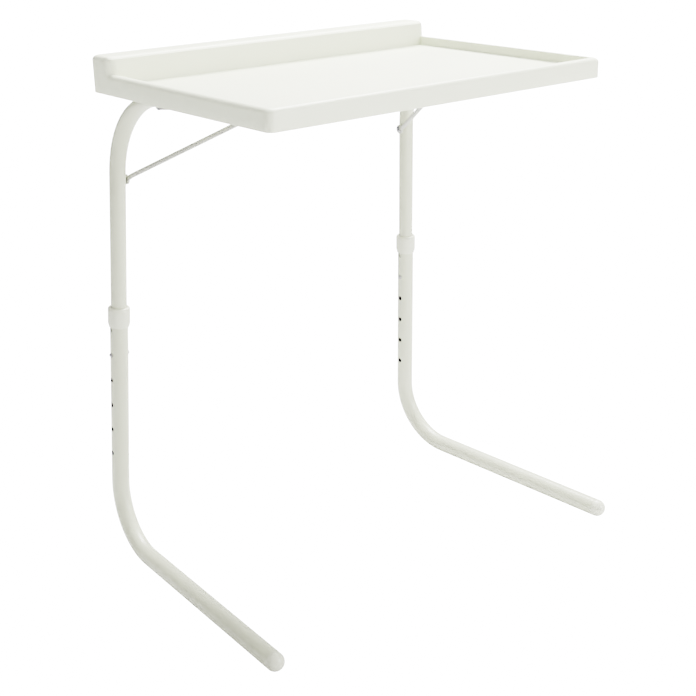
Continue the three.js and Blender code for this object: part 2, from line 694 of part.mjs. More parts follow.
// Tray: a shallow recessed deck with a skirt, a low rim on three sides and a tall back ledge.
function tray() {
  const right = TRAY_WIDTH / 2;
  const outline = roundedRectangle(-right, 0, right, TRAY_DEPTH, CORNER_RADIUS);
  const body = cut(
    softSlab(outline, skirtBottom - RIM_EDGE, rimTop, RIM_EDGE, RIM_FACETS),
    block(
      new THREE.Vector3(-TRAY_WIDTH, -TRAY_DEPTH, skirtBottom - 2 * RIM_EDGE),
      new THREE.Vector3(TRAY_WIDTH, 2 * TRAY_DEPTH, skirtBottom),
    ),
  );
  const ledgeFront = TRAY_DEPTH - LEDGE_DEPTH;
  const ledgeOutline = roundedRectangle(-right, ledgeFront, right, TRAY_DEPTH, LEDGE_CORNER);
  const ledge = softSlab(ledgeOutline, deckUnder - LEDGE_EDGE, rimTop + LEDGE_RISE, LEDGE_EDGE);
  const recessOutline = roundedRectangle(
    -right + RIM_WIDTH, RIM_WIDTH, right - RIM_WIDTH, TRAY_DEPTH - WALL, RECESS_CORNER,
  );
  const recess = softSlab(recessOutline, deckTop, rimTop + LEDGE_RISE * 2, DECK_FILLET);
  const hollowOutline = roundedRectangle(
    -right + WALL, WALL, right - WALL, TRAY_DEPTH - WALL, CORNER_RADIUS - WALL,
  );
  const hollow = softSlab(hollowOutline, skirtBottom - SKIRT_HEIGHT, deckUnder, HOLLOW_EDGE);
  const ledgeHollowOutline = roundedRectangle(
    -right + WALL, ledgeFront + WALL, right - WALL, TRAY_DEPTH - WALL, LEDGE_CORNER - WALL,
  );
  const ledgeRoof = rimTop + LEDGE_RISE - WALL;
  const ledgeHollow = softSlab(ledgeHollowOutline, skirtBottom, ledgeRoof, LEDGE_HOLLOW_EDGE);
  const shell = cut(join(cut(body, recess), ledge), hollow, ledgeHollow);
  const ribBottom = deckUnder - RIB_DROP;
  const ribTop = deckUnder + DECK / 2;
  const ribHalf = armX - earOuter - RIB_END_ROOM;
  const ribs = [...RIBS_FROM_FRONT, ledgeFront - RIB_FROM_LEDGE].map((y) => block(
    new THREE.Vector3(-ribHalf, y, ribBottom),
    new THREE.Vector3(ribHalf, y + RIB, ribTop),
  ));
  for (const side of [-1, 1]) {
    ribs.push(block(
      new THREE.Vector3(side * RIB_OFFSET - RIB / 2, WALL / 2, ribBottom),
      new THREE.Vector3(side * RIB_OFFSET + RIB / 2, ledgeFront + WALL / 2, ribTop),
    ));
  }
  const bosses = screwSpots.map(({ x, y }) => rod(
    new THREE.Vector3(x, y, bossBottom),
    new THREE.Vector3(x, y, ribTop),
    BOSS_RADIUS,
  ));
  const pilots = screwSpots.map(({ x, y }) => rod(
    new THREE.Vector3(x, y, bossBottom - CUT_PAST),
    new THREE.Vector3(x, y, deckUnder + PILOT_INTO_DECK),
    SCREW_RADIUS + GAP,
  ));
  return cut(join(shell, ...ribs, ...bosses), ...pilots);
}

// ---------------------------------------------------------------- assembly

addPiece('tray_top', tray(), trayPlastic);

for (const [name, side] of Object.entries(SIDES)) {
  const leg = legOf(side);
  addPiece(`${name}_upper_tube`, upperTube(leg), powderCoat);
  addPiece(`${name}_lower_tube`, lowerTube(leg), powderCoat);
  addPiece(`${name}_collar`, collar(leg), fittingPlastic);
  addPiece(`${name}_foot_cap`, footCap(leg), fittingPlastic);
  addPiece(`${name}_hinge_knuckle`, hingeKnuckle(leg), hiddenPlastic);
  addPiece(`${name}_hinge_bracket`, hingeBracket(leg), zincPlate);
  addPiece(`${name}_hinge_pin`, hingePin(leg), zincPlate);
  addPiece(`${name}_outer_button`, snapButton(leg, 1), zincPlate);
  addPiece(`${name}_inner_button`, snapButton(leg, -1), zincPlate);
  addPiece(`${name}_snap_spring`, snapSpring(leg), springSteel);
  addPiece(`${name}_bail_rivet`, bailRivet(leg), zincPlate);
  addPiece(`${name}_notch_rack`, notchRack(side * RACK_OFFSET), hiddenPlastic);
}

addPiece('tilt_bail', tiltBail(), bailCoat);

const screwNames = ['left_bracket', 'right_bracket', 'left_rack', 'right_rack'];
screwSpots.forEach(({ x, y, seat }, i) => {
  const end = i % 2 === 0 ? 'front' : 'rear';
  addPiece(`${screwNames[Math.floor(i / 2)]}_screw_${end}`, screw(x, y, seat), zincPlate);
});

// Stands the table on the origin: midway between the toes and the heels.
const { heel, toe, post } = legOf(1);
const legNormal = new THREE.Vector3().crossVectors(post, toe).normalize();
const bendReach = LOWER_BEND * Math.tan(post.angleTo(toe.clone().negate()) / 2);
const towardPost = post.clone().addScaledVector(toe, -post.dot(toe)).normalize();
const bendCentre = heel.clone().addScaledVector(toe, bendReach).addScaledVector(towardPost, LOWER_BEND);
const heelBack = bendCentre.y + LOWER_BEND * Math.sqrt(1 - legNormal.y ** 2) + LOWER_RADIUS;
const toeFront = heel.y + FOOT_LENGTH * toe.y - LOWER_RADIUS;
table.position.set(0, -(heelBack + toeFront) / 2, 0);

export default table;
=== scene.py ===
# %% [markdown]
# # A folding tray table A moulded tray stands on two legs of bent steel tube. Each leg is two tubes, one
# sliding in the other, and sprung buttons lock them together through a row of holes. A bent rod, the tilt
# bail, holds the tray up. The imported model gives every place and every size. This lesson keeps those, and
# makes the surfaces look real.

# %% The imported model
import json
import math
import bmesh
import bpy
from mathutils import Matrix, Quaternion, Vector


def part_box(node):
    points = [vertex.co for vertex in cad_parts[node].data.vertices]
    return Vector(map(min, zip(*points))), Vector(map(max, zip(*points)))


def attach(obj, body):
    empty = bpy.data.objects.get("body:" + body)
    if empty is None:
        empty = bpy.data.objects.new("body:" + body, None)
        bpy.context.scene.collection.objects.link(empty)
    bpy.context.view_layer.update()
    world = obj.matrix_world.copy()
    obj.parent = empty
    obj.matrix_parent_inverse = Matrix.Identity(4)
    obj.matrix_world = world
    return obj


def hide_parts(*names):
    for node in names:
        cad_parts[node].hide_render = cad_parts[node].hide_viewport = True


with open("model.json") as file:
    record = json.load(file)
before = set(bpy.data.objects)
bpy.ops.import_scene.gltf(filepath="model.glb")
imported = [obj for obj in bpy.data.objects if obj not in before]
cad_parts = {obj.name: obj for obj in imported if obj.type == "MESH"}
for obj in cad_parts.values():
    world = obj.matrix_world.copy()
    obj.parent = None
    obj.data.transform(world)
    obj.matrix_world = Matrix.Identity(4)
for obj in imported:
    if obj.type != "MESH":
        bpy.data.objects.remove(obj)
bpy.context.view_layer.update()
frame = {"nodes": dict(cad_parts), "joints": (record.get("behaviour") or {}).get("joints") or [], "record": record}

MM = 0.001
joints = {joint["name"]: joint for joint in frame["joints"]}

# %% [markdown]
# ## The camera
# The table is seen from its front left corner, a little above the tray. The camera comes first, because
# every later choice is judged through it. A camera could be aimed with a Track To constraint, but plain
# numbers are easier to keep: where it stands, how far it turns to the right, how far it looks down and
# how far it leans.

# %% The camera
CAMERA_PLACE = Vector((-1.0652, -1.2960, 0.9312))
CAMERA_YAW = math.radians(39.1)
CAMERA_PITCH = math.radians(20.81)
CAMERA_LEAN = math.radians(1.09)
CAMERA_LENS = 65.31

camera_data = bpy.data.cameras.new("camera")
camera_data.sensor_width = 36
camera_data.lens = CAMERA_LENS
camera = bpy.data.objects.new("camera", camera_data)
ahead = Vector((
    math.sin(CAMERA_YAW) * math.cos(CAMERA_PITCH),
    math.cos(CAMERA_YAW) * math.cos(CAMERA_PITCH),
    -math.sin(CAMERA_PITCH),
))
camera.rotation_mode = "QUATERNION"
camera.location = CAMERA_PLACE
camera.rotation_quaternion = Quaternion(ahead, CAMERA_LEAN) @ ahead.to_track_quat("-Z", "Y")
bpy.context.scene.collection.objects.link(camera)
bpy.context.scene.camera = camera
print("the camera looks", round(math.degrees(CAMERA_PITCH)), "degrees down")

# %% [markdown]
# ## A workbench for nodes
# Materials and Geometry Nodes are both node trees, and both are tedious to write link by link. One small
# class adds any node from its type, its settings and its inputs. Another wraps a socket, so that sums on
# it are written as plain Python and add their own Math nodes.

# %% The workbench
class Wire:
    """A socket that can be added, taken away, multiplied and divided."""

    def __init__(self, bench, socket):
        self.bench = bench
        self.socket = socket

    def _maths(self, operation, first, second):
        return self.bench.add("ShaderNodeMath", {"operation": operation}, {0: first, 1: second})

    def __add__(self, other):
        return self._maths("ADD", self, other)

    def __radd__(self, other):
        return self._maths("ADD", other, self)

    def __sub__(self, other):
        return self._maths("SUBTRACT", self, other)

    def __rsub__(self, other):
        return self._maths("SUBTRACT", other, self)

    def __mul__(self, other):
        return self._maths("MULTIPLY", self, other)

    def __rmul__(self, other):
        return self._maths("MULTIPLY", other, self)

    def clipped(self):
        return self._maths("MINIMUM", self._maths("MAXIMUM", self, 0.0), 1.0)


class Bench:
    """Adds nodes to one tree."""

    def __init__(self, tree):
        self.tree = tree

    def add(self, kind, settings=None, inputs=None, out=0):
        node = self.tree.nodes.new(kind)
        for name, value in (settings or {}).items():
            if name == "stops":
                ramp = node.color_ramp
                while len(ramp.elements) < len(value):
                    ramp.elements.new(1.0)
                for element, (place, shade) in zip(ramp.elements, value):
                    element.position = place
                    element.color = (shade, shade, shade, 1)
            else:
                setattr(node, name, value)
        for name, value in (inputs or {}).items():
            socket = node.inputs[name]
            if isinstance(value, Wire):
                self.tree.links.new(value.socket, socket)
            else:
                socket.default_value = value
        return Wire(self, node.outputs[out])

# %% [markdown]
# ## Finishes
# Nothing here is one flat colour. Moulded plastic has a fine grain and a slight unevenness of gloss. Powder
# coat has an orange-peel skin. Zinc plate is mottled. Each finish is a Principled shader whose colour,
# roughness and bump come from noise on Object coordinates, so the pattern stays put when the part moves.

# %% The finishes
TRAY_WHITE = (0.84, 0.885, 0.655)
FITTING_WHITE = (0.62, 0.64, 0.49)
HIDDEN_WHITE = (0.70, 0.72, 0.57)
COAT_WHITE = (0.52, 0.545, 0.385)
BAIL_GREY = (0.42, 0.425, 0.36)
ZINC = (0.33, 0.33, 0.335)
SPRING = (0.34, 0.34, 0.35)
# Near black: the tube's bare inside, darkened far past bare steel as painted shade so that the holes read dark.
BARE_STEEL_AND_PAINTED_SHADE = (0.035, 0.033, 0.03)


def noise(bench, where, scale, detail=2.0):
    return bench.add("ShaderNodeTexNoise", {}, {"Vector": where, "Scale": scale, "Detail": detail}, "Fac")


def finish(name, colour, gloss, grain, depth, uneven=0.06, metal=0.0, coat=0.0, scuffs=0.0):
    """A material: gloss is its roughness, grain the bump's scale per metre and depth the bump's height."""
    material = bpy.data.materials.new(name)
    material.use_nodes = True
    bench = Bench(material.node_tree)
    shader = material.node_tree.nodes["Principled BSDF"]
    where = bench.add("ShaderNodeTexCoord", out="Object")
    cloud = noise(bench, where, 9.0, 3.0)
    speckle = noise(bench, where, 160.0)
    fine = noise(bench, where, grain)
    mottle = (cloud - 0.5) * 0.9 + (speckle - 0.5) * 0.35
    worn = [shade * (1 - uneven * 2.2) for shade in colour]
    tint = bench.add(
        "ShaderNodeMix", {"data_type": "RGBA"},
        {0: (mottle + 0.5).clipped(), 6: (*worn, 1), 7: (*colour, 1)}, 2,
    )
    roughness = mottle * 0.14 + gloss
    if scuffs:
        streaks = bench.add("ShaderNodeMapping", {}, {"Vector": where, "Scale": (1.0, 1.0, 0.08)})
        marks = bench.add("ShaderNodeValToRGB", {"stops": [(0.60, 0.0), (0.72, 1.0)]},
                          {"Fac": noise(bench, streaks, 240.0, 4.0)})
        tint = bench.add(
            "ShaderNodeMix", {"data_type": "RGBA"},
            {0: marks * scuffs, 6: tint, 7: (*[shade * 0.55 for shade in colour], 1)}, 2,
        )
        roughness = roughness + marks * 0.12
    bump = bench.add("ShaderNodeBump", {}, {"Height": fine, "Strength": 0.35, "Distance": depth}, "Normal")
    for socket, value in (("Base Color", tint), ("Roughness", roughness), ("Normal", bump)):
        material.node_tree.links.new(value.socket, shader.inputs[socket])
    shader.inputs["Metallic"].default_value = metal
    shader.inputs["Coat Weight"].default_value = coat
    shader.inputs["Coat Roughness"].default_value = 0.12
    shader.inputs["IOR"].default_value = 1.49
    return material


tray_plastic = finish("tray_plastic", TRAY_WHITE, 0.44, 1500.0, 0.00012, uneven=0.02)
fitting_plastic = finish("fitting_plastic", FITTING_WHITE, 0.27, 900.0, 0.00004, uneven=0.02)
hidden_plastic = finish("hidden_plastic", HIDDEN_WHITE, 0.50, 1200.0, 0.0001, uneven=0.03)
powder_coat = finish("powder_coat", COAT_WHITE, 0.36, 620.0, 0.00010, uneven=0.03, coat=0.15)
bail_coat = finish("bail_coat", BAIL_GREY, 0.40, 620.0, 0.00010, uneven=0.05)
zinc_plate = finish("zinc_plate", ZINC, 0.34, 700.0, 0.00006, uneven=0.12, metal=1.0, scuffs=0.35)
spring_steel = finish("spring_steel", SPRING, 0.32, 900.0, 0.00004, uneven=0.12, metal=1.0, scuffs=0.4)
finishes = {
    "tray_plastic": tray_plastic, "fitting_plastic": fitting_plastic, "hidden_plastic": hidden_plastic,
    "powder_coat": powder_coat, "bail_coat": bail_coat, "zinc_plate": zinc_plate,
    "spring_steel": spring_steel,
}
# The tube's bare inside and the walls of its holes, darkened to near black as painted shade in the holes.
bare_steel_and_painted_shade = finish("bare steel inside a tube", BARE_STEEL_AND_PAINTED_SHADE, 0.6, 500.0, 0.00005, uneven=0.2)
node_slots = {part["node"]: part["material_slot"] for part in frame["record"]["subparts"]}
for name, node in frame["nodes"].items():
    node.data.materials.clear()
    node.data.materials.append(finishes[node_slots[name]])
print(len(finishes), "finishes on", len(node_slots), "nodes")

# %% [markdown]
# ## From lists of points to a piece
# Every piece below is a list of points and faces worked out in code, so one function turns them into an
# object, shades it smooth with crisp edges where it turns sharply, and says what it rides on and what it
# replaces.

# %% Making a piece
CRISP = math.radians(38)


def piece(name, points, faces, material, body, *nodes):
    mesh = bpy.data.meshes.new(name)
    mesh.from_pydata([tuple(point) for point in points], [], faces)
    return settle(name, mesh, material, body, *nodes)


def settle(name, mesh, material, body, *nodes):
    """Cleans a mesh, turns its faces outwards, parents it to its body and hides the parts it replaces."""
    shape = bmesh.new()
    shape.from_mesh(mesh)
    bmesh.ops.remove_doubles(shape, verts=shape.verts, dist=1e-6)
    loose = [vertex for vertex in shape.verts if not vertex.link_faces]
    bmesh.ops.delete(shape, geom=loose, context="VERTS")
    bmesh.ops.recalc_face_normals(shape, faces=shape.faces)
    open_edges = sum(1 for edge in shape.edges if len(edge.link_faces) != 2)
    shape.to_mesh(mesh)
    shape.free()
    mesh.shade_smooth()
    mesh.set_sharp_from_angle(angle=CRISP)
    mesh.materials.clear()
    mesh.materials.append(material)
    thing = bpy.data.objects.new(name, mesh)
    bpy.context.scene.collection.objects.link(thing)
    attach(thing, body)
    if nodes:
        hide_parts(*nodes)
    print(name, len(mesh.polygons), "faces,", open_edges, "open edges")
    return thing


def square_to(axis):
    """Two directions at right angles to an axis and to each other."""
    helper = Vector((1, 0, 0)) if abs(axis.x) < 0.7 else Vector((0, 1, 0))
    first = helper.cross(axis).normalized()
    return first, axis.cross(first)


def turned(profile, place, axis, sides=64):
    """Points and faces of a turned piece, whose profile of (radius, height) is closed or ends on the axis."""
    first, second = square_to(axis)
    points, rings, faces = [], [], []
    for radius, height in profile:
        centre = place + axis * height
        if radius < 1e-9:
            rings.append([len(points)] * sides)
            points.append(centre)
            continue
        rings.append(list(range(len(points), len(points) + sides)))
        for side in range(sides):
            angle = 2 * math.pi * side / sides
            points.append(centre + (first * math.cos(angle) + second * math.sin(angle)) * radius)
    for below, above in zip(rings, rings[1:]):
        for side in range(sides):
            after = (side + 1) % sides
            corners = [below[side], below[after], above[after], above[side]]
            kept = [c for i, c in enumerate(corners) if c not in corners[:i]]
            if len(kept) > 2:
                faces.append(kept)
    return points, faces


def arc(centre_radius, centre_height, radius, start, stop, steps):
    """Part of a circle in a profile, angles in degrees from straight out."""
    return [
        (centre_radius + radius * math.cos(math.radians(start + (stop - start) * i / steps)),
         centre_height + radius * math.sin(math.radians(start + (stop - start) * i / steps)))
        for i in range(steps + 1)
    ]

# %% [markdown]
# ## Where each leg stands
# The joints say it all: the height slide gives the post's direction, the fold hinge gives the end of the
# arm, and the sprung buttons give the direction of the holes. The collar's middle is a point on the post.

# %% The legs' lines
LOWER_RADIUS = 12.7 * MM
UPPER_RADIUS = 11.1 * MM
TUBE_WALL = 1.2 * MM


def middle(node):
    points = [vertex.co for vertex in frame["nodes"][node].data.vertices]
    return sum(points, Vector()) / len(points)


def leg_lines(name, side):
    post = -Vector(joints[name + "_height"]["axis"])
    outward = -Vector(joints[name + "_outer_button_press"]["axis"])
    start = middle(name + "_collar")
    at_height = lambda height: start + post * ((height - start.z) / post.z)
    heel = at_height(LOWER_RADIUS)
    low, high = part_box(name + "_foot_cap")
    toe_end = Vector(((low.x + high.x) / 2, low.y, LOWER_RADIUS))
    hinge = Vector(joints[name + "_leg_fold"]["pos_m"])
    button = middle(name + "_outer_button")
    button = heel + post * (button - heel).dot(post)
    return {
        "name": name, "side": side, "post": post, "outward": outward, "heel": heel,
        "button": button, "hinge": hinge, "arm_corner": at_height(hinge.z), "at_height": at_height,
        "toe_end": toe_end,
    }


legs = [leg_lines("left", -1), leg_lines("right", 1)]
for leg in legs:
    print(leg["name"], "post leans", round(math.degrees(leg["post"].angle(Vector((0, 0, 1)))), 2), "degrees",
          "heel", [round(v, 4) for v in leg["heel"]])

# %% [markdown]
# ## The tray
# The real tray is one thin moulding: a flat deck, a low rounded rim on three sides, a tall hollow ledge
# at the back and a skirt all round. It could be cut from boxes and bevelled, but a mould-like sheet is
# easier to keep smooth. So its upper side is one grid of lines, close together where the surface curves,
# whose heights follow the rim's and the ledge's profiles. Its rings round off towards the corners.

# %% The tray's sizes
tray_low, tray_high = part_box("tray_top")
RIB_DROP = 7.0 * MM
RIM_WIDTH = 10.0 * MM
RIM_EDGE = 6.0 * MM
RIM_INNER_EDGE = 1.2 * MM
RIM_DRAFT = 0.7 * MM
DECK_FILLET = 3.0 * MM
TRAY_CORNER = 9.0 * MM
RECESS_CORNER = 7.0 * MM
CORNER_PATCH = 26.0 * MM
LEDGE_DEPTH = 44.0 * MM
LEDGE_RISE = 22.0 * MM
LEDGE_EDGE = 6.0 * MM
LEDGE_BROW = 8.0 * MM
LEDGE_FOOT = 4.0 * MM
LEDGE_CORNER = 10.0 * MM
LEDGE_DRAFT = 0.8 * MM
SHELL = 3.0 * MM
half_width = tray_high.x
tray_depth = tray_high.y - tray_low.y
ledge_top = tray_high.z
rim_top = ledge_top - LEDGE_RISE
skirt_bottom = tray_low.z
deck_top = frame["record"]["mounts"][0]["pos_m"][2]
deck_under = deck_top - SHELL
print("rim", round((rim_top - deck_top) / MM, 2), "mm above the deck")
print("ledge", round(LEDGE_RISE / MM), "mm above the rim")


def round_steps(radius, steps):
    """Insets across a rounded edge and how far it lies below the top at each."""
    angles = [math.pi / 2 * i / steps for i in range(steps + 1)]
    return [(radius * (1 - math.sin(angle)), radius * (1 - math.cos(angle))) for angle in reversed(angles)]


def rim_profile():
    """Stations from the outer wall to the deck: (inset, height)."""
    stations = [(inset, rim_top - drop) for inset, drop in round_steps(RIM_EDGE, 8)]
    edge_start = RIM_WIDTH - RIM_INNER_EDGE
    for i in range(1, 5):
        angle = math.pi / 2 * i / 4
        stations.append((edge_start + RIM_INNER_EDGE * math.sin(angle),
                         rim_top - RIM_INNER_EDGE * (1 - math.cos(angle))))
    foot = RIM_WIDTH + RIM_DRAFT
    stations.append((foot - RIM_DRAFT / 2, (rim_top + deck_top) / 2))
    for i in range(6):
        angle = math.pi / 2 * i / 5
        stations.append((foot + DECK_FILLET * (1 - math.cos(angle)),
                         deck_top + DECK_FILLET * (1 - math.sin(angle))))
    return stations


rim_stations = rim_profile()


def along(stations, inset):
    """The height of a profile at an inset."""
    if inset <= stations[0][0]:
        return stations[0][1]
    for (x0, z0), (x1, z1) in zip(stations, stations[1:]):
        if inset <= x1:
            return z0 + (z1 - z0) * (inset - x0) / max(x1 - x0, 1e-9)
    return stations[-1][1]

# %% The grid's lines
def ledge_stations():
    """Lines across the ledge's front: (distance behind the front, share of the way up, extra height)."""
    lines = [(-30 * MM, 0.0, 0.0), (-18 * MM, 0.0, 0.0), (-9 * MM, 0.0, 0.0)]
    start = -LEDGE_DRAFT - LEDGE_FOOT
    for i in range(6):
        angle = math.pi / 2 * i / 5
        lines.append((start + LEDGE_FOOT * math.sin(angle), 0.0, LEDGE_FOOT * (1 - math.cos(angle))))
    for share in (0.25, 0.5, 0.75):
        lines.append((-LEDGE_DRAFT * (1 - share), share, LEDGE_FOOT * (1 - share) - LEDGE_BROW * share))
    for i in range(8):
        angle = math.pi / 2 * i / 7
        lines.append((LEDGE_BROW * (1 - math.cos(angle)), 1.0, -LEDGE_BROW * (1 - math.sin(angle))))
    return lines


side_insets = [inset for inset, _ in rim_stations] + [18 * MM, 22 * MM, CORNER_PATCH]
inner_left = -half_width + CORNER_PATCH
x_lines = [-half_width + inset for inset in side_insets]
x_lines += [inner_left + (-2 * inner_left) * i / 18 for i in range(1, 18)]
x_lines += [half_width - inset for inset in reversed(side_insets)]
ledge_front = tray_depth - LEDGE_DEPTH
front_lines = [(inset, 0.0, 0.0) for inset in side_insets]
middle_start, middle_end = CORNER_PATCH, ledge_front - 30 * MM
middle_lines = [(middle_start + (middle_end - middle_start) * i / 14, 0.0, 0.0) for i in range(1, 14)]
brow_lines = [(ledge_front + back, share, extra) for back, share, extra in ledge_stations()]
back_insets = [inset for inset in side_insets if inset < RIM_WIDTH + 1 * MM]
back_insets += [14 * MM, 20 * MM, CORNER_PATCH]
back_lines = [(tray_depth - inset, 1.0, 0.0) for inset in reversed(back_insets)]
y_lines = front_lines + middle_lines + brow_lines + back_lines
print(len(x_lines), "lines one way and", len(y_lines), "the other")


def rounded(point, corner_radius, patch):
    """Moves a point of a square patch so that the patch's rings turn a round corner.
    The point is measured from the patch's inner corner, and the patch is that far across."""
    u, v = point
    reach = max(u, v)
    if reach <= 0:
        return u, v
    radius = min(corner_radius(patch - reach), reach)
    flat = reach - radius
    run = flat + radius * math.pi / 4
    travel = min(u, v) / reach * run
    if travel <= flat:
        near, far = reach, travel
    else:
        angle = (travel - flat) / radius
        near, far = flat + radius * math.cos(angle), flat + radius * math.sin(angle)
    return (near, far) if u >= v else (far, near)


def ring_corner(inset):
    """The corner radius of the ring at an inset: the outer wall's at 0, the recess's at the rim's foot."""
    share = min(inset / RIM_WIDTH, 1.0)
    fade = max(0.0, 1.0 - max(inset - RIM_WIDTH, 0.0) / (CORNER_PATCH - RIM_WIDTH))
    return (TRAY_CORNER + (RECESS_CORNER - TRAY_CORNER) * share) * fade


def in_plan(x, y, half, depth):
    """A grid point's place in plan, rounded at the four corners."""
    from_side, from_end = half - abs(x), min(y, depth - y)
    if from_side < CORNER_PATCH and from_end < CORNER_PATCH:
        u, v = rounded((CORNER_PATCH - from_side, CORNER_PATCH - from_end), ring_corner, CORNER_PATCH)
        from_side, from_end = CORNER_PATCH - u, CORNER_PATCH - v
        x = math.copysign(half - from_side, x)
        y = from_end if y < depth / 2 else depth - from_end
    return x, y


def swept_back(x, y, half, front):
    """The ledge's front turns back in a round corner at each end."""
    from_side = half - abs(x)
    near = max(0.0, 1.0 - abs(y - front) / (24 * MM))
    if from_side >= LEDGE_CORNER or near <= 0:
        return y
    shift = LEDGE_CORNER - math.sqrt(max(LEDGE_CORNER ** 2 - (LEDGE_CORNER - from_side) ** 2, 0.0))
    return y + 0.92 * shift * (near * (2 - near))

# %% The tray's surface
def edge_drop(inset, radius):
    if inset >= radius:
        return 0.0
    return radius - math.sqrt(radius ** 2 - (radius - inset) ** 2)


def upper_height(from_side, from_end, share, extra):
    inset = min(from_side, from_end)
    low = along(rim_stations, inset)
    if share <= 0:
        return low + extra
    back = min(from_side, from_end) if share >= 1 else from_side
    top = ledge_top - edge_drop(back, LEDGE_EDGE)
    return low + (top - low) * share + extra


def sheet(shrink, height_of):
    """One side of the moulding as rows of points, shrunk inwards by the wall's thickness."""
    half, depth = half_width - shrink, tray_depth - 2 * shrink
    rows = []
    for y, share, extra in y_lines:
        row = []
        for x in x_lines:
            flat_x, flat_y = in_plan(x, y, half_width, tray_depth)
            flat_y = swept_back(flat_x, flat_y, half_width, ledge_front)
            from_end = y if y < tray_depth / 2 else tray_depth - y
            height = height_of(half_width - abs(x), from_end, share, extra)
            row.append(Vector((
                flat_x * half / half_width,
                tray_low.y + shrink + flat_y * depth / tray_depth,
                height,
            )))
        rows.append(row)
    return rows


HOLLOW_EDGE = 2.0 * MM


def under_height(from_side, from_end, share, extra):
    inset = min(from_side, from_end)
    roof = deck_under + (ledge_top - SHELL - deck_under) * share
    return roof - edge_drop(inset, HOLLOW_EDGE)


def rim_of(rows, offset):
    """The outline of a sheet as indices, in order."""
    wide, deep = len(rows[0]), len(rows)
    index = lambda row, column: offset + row * wide + column
    loop = [index(0, column) for column in range(wide)]
    loop += [index(row, wide - 1) for row in range(1, deep)]
    loop += [index(deep - 1, column) for column in range(wide - 2, -1, -1)]
    loop += [index(row, 0) for row in range(deep - 2, 0, -1)]
    return loop


def tray_moulding():
    upper = sheet(0.0, upper_height)
    under = sheet(SHELL, under_height)
    points = [point for row in upper for point in row]
    offset = len(points)
    points += [point for row in under for point in row]
    wide, faces = len(x_lines), []
    for row in range(len(y_lines) - 1):
        for column in range(wide - 1):
            a = row * wide + column
            quad = [a, a + 1, a + 1 + wide, a + wide]
            faces.append(quad)
            faces.append([offset + corner for corner in reversed(quad)])
    outer, inner = rim_of(upper, 0), rim_of(under, offset)
    lip = 0.8 * MM
    levels = []
    for loop, heights, squeeze in (
        (outer, (None, skirt_bottom + 12 * MM, skirt_bottom + lip), 0.0),
        (outer, (skirt_bottom + lip * 0.3,), 0.3),
        (outer, (skirt_bottom,), 1.0),
        (inner, (skirt_bottom,), -1.0),
        (inner, (skirt_bottom + lip * 0.3,), -0.3),
        (inner, (skirt_bottom + lip, None), 0.0),
    ):
        for height in heights:
            if height is None:
                levels.append(loop)
                continue
            ring = []
            for corner in loop:
                point = points[corner].copy()
                half_depth = tray_depth / 2
                toward = Vector((-point.x / half_width, (tray_low.y + half_depth - point.y) / half_depth))
                point.x += toward.x * lip * squeeze
                point.y += toward.y * lip * squeeze
                point.z = height
                ring.append(len(points))
                points.append(point)
            levels.append(ring)
    for above, below in zip(levels, levels[1:]):
        for i in range(len(above)):
            after = (i + 1) % len(above)
            faces.append([above[i], above[after], below[after], below[i]])
    return points, faces


tray = piece("tray", *tray_moulding(), tray_plastic, "tray", "tray_top")

# %% [markdown]
# ## The bent tubes
# Each leg is a larger tube on the floor and a smaller one that slides in it. A curve with a bevel would
# give a bent tube at once, but not the row of drilled holes, nor the end that is squeezed flat under the
# tray. So both are swept in code: a ring of points is carried along straight runs and round bends.

# %% Sweeping
LOWER_BEND = 86.0 * MM
UPPER_BEND = 116.0 * MM
TUBE_SIDES = 48
BEND_STEPS = 22


def bent_line(start, corner, end, radius, steps=BEND_STEPS):
    """Stations (place, direction, share of the bend) along two straight runs and the bend between them."""
    before, after = (corner - start).normalized(), (end - corner).normalized()
    turn = before.angle(after)
    reach = radius * math.tan(turn / 2)
    inward = (after - before * before.dot(after)).normalized()
    first = corner - before * reach
    stations = [(start, before, 0.0)]
    for step in range(steps + 1):
        angle = turn * step / steps
        place = first + before * (radius * math.sin(angle)) + inward * (radius * (1 - math.cos(angle)))
        stations.append((place, before * math.cos(angle) + inward * math.sin(angle), step / steps))
    stations.append((end, after, 1.0))
    return stations


def ring(place, direction, across, wide, high, sides=TUBE_SIDES):
    """A ring of points: it starts on the across side."""
    up = direction.cross(across).normalized()
    angles = [2 * math.pi * i / sides for i in range(sides)]
    return [
        place + across * (wide * math.cos(angle)) + up * (high * math.sin(angle))
        for angle in angles
    ]


def hoops(rings_of_points, closed=True):
    """Faces between rings of equal size; the last ring is joined to the first if closed."""
    size = len(rings_of_points[0])
    points = [point for one in rings_of_points for point in one]
    count = len(rings_of_points)
    faces = []
    for low in range(count if closed else count - 1):
        high = (low + 1) % count
        for i in range(size):
            after = (i + 1) % size
            faces.append([low * size + i, low * size + after, high * size + after, high * size + i])
    return points, faces

# %% The upper tubes
ARM_SQUEEZE = 0.28
KNUCKLE_NECK = 12.8 * MM
UPPER_TAIL = 26.0 * MM
MOUTH = 0.35 * MM


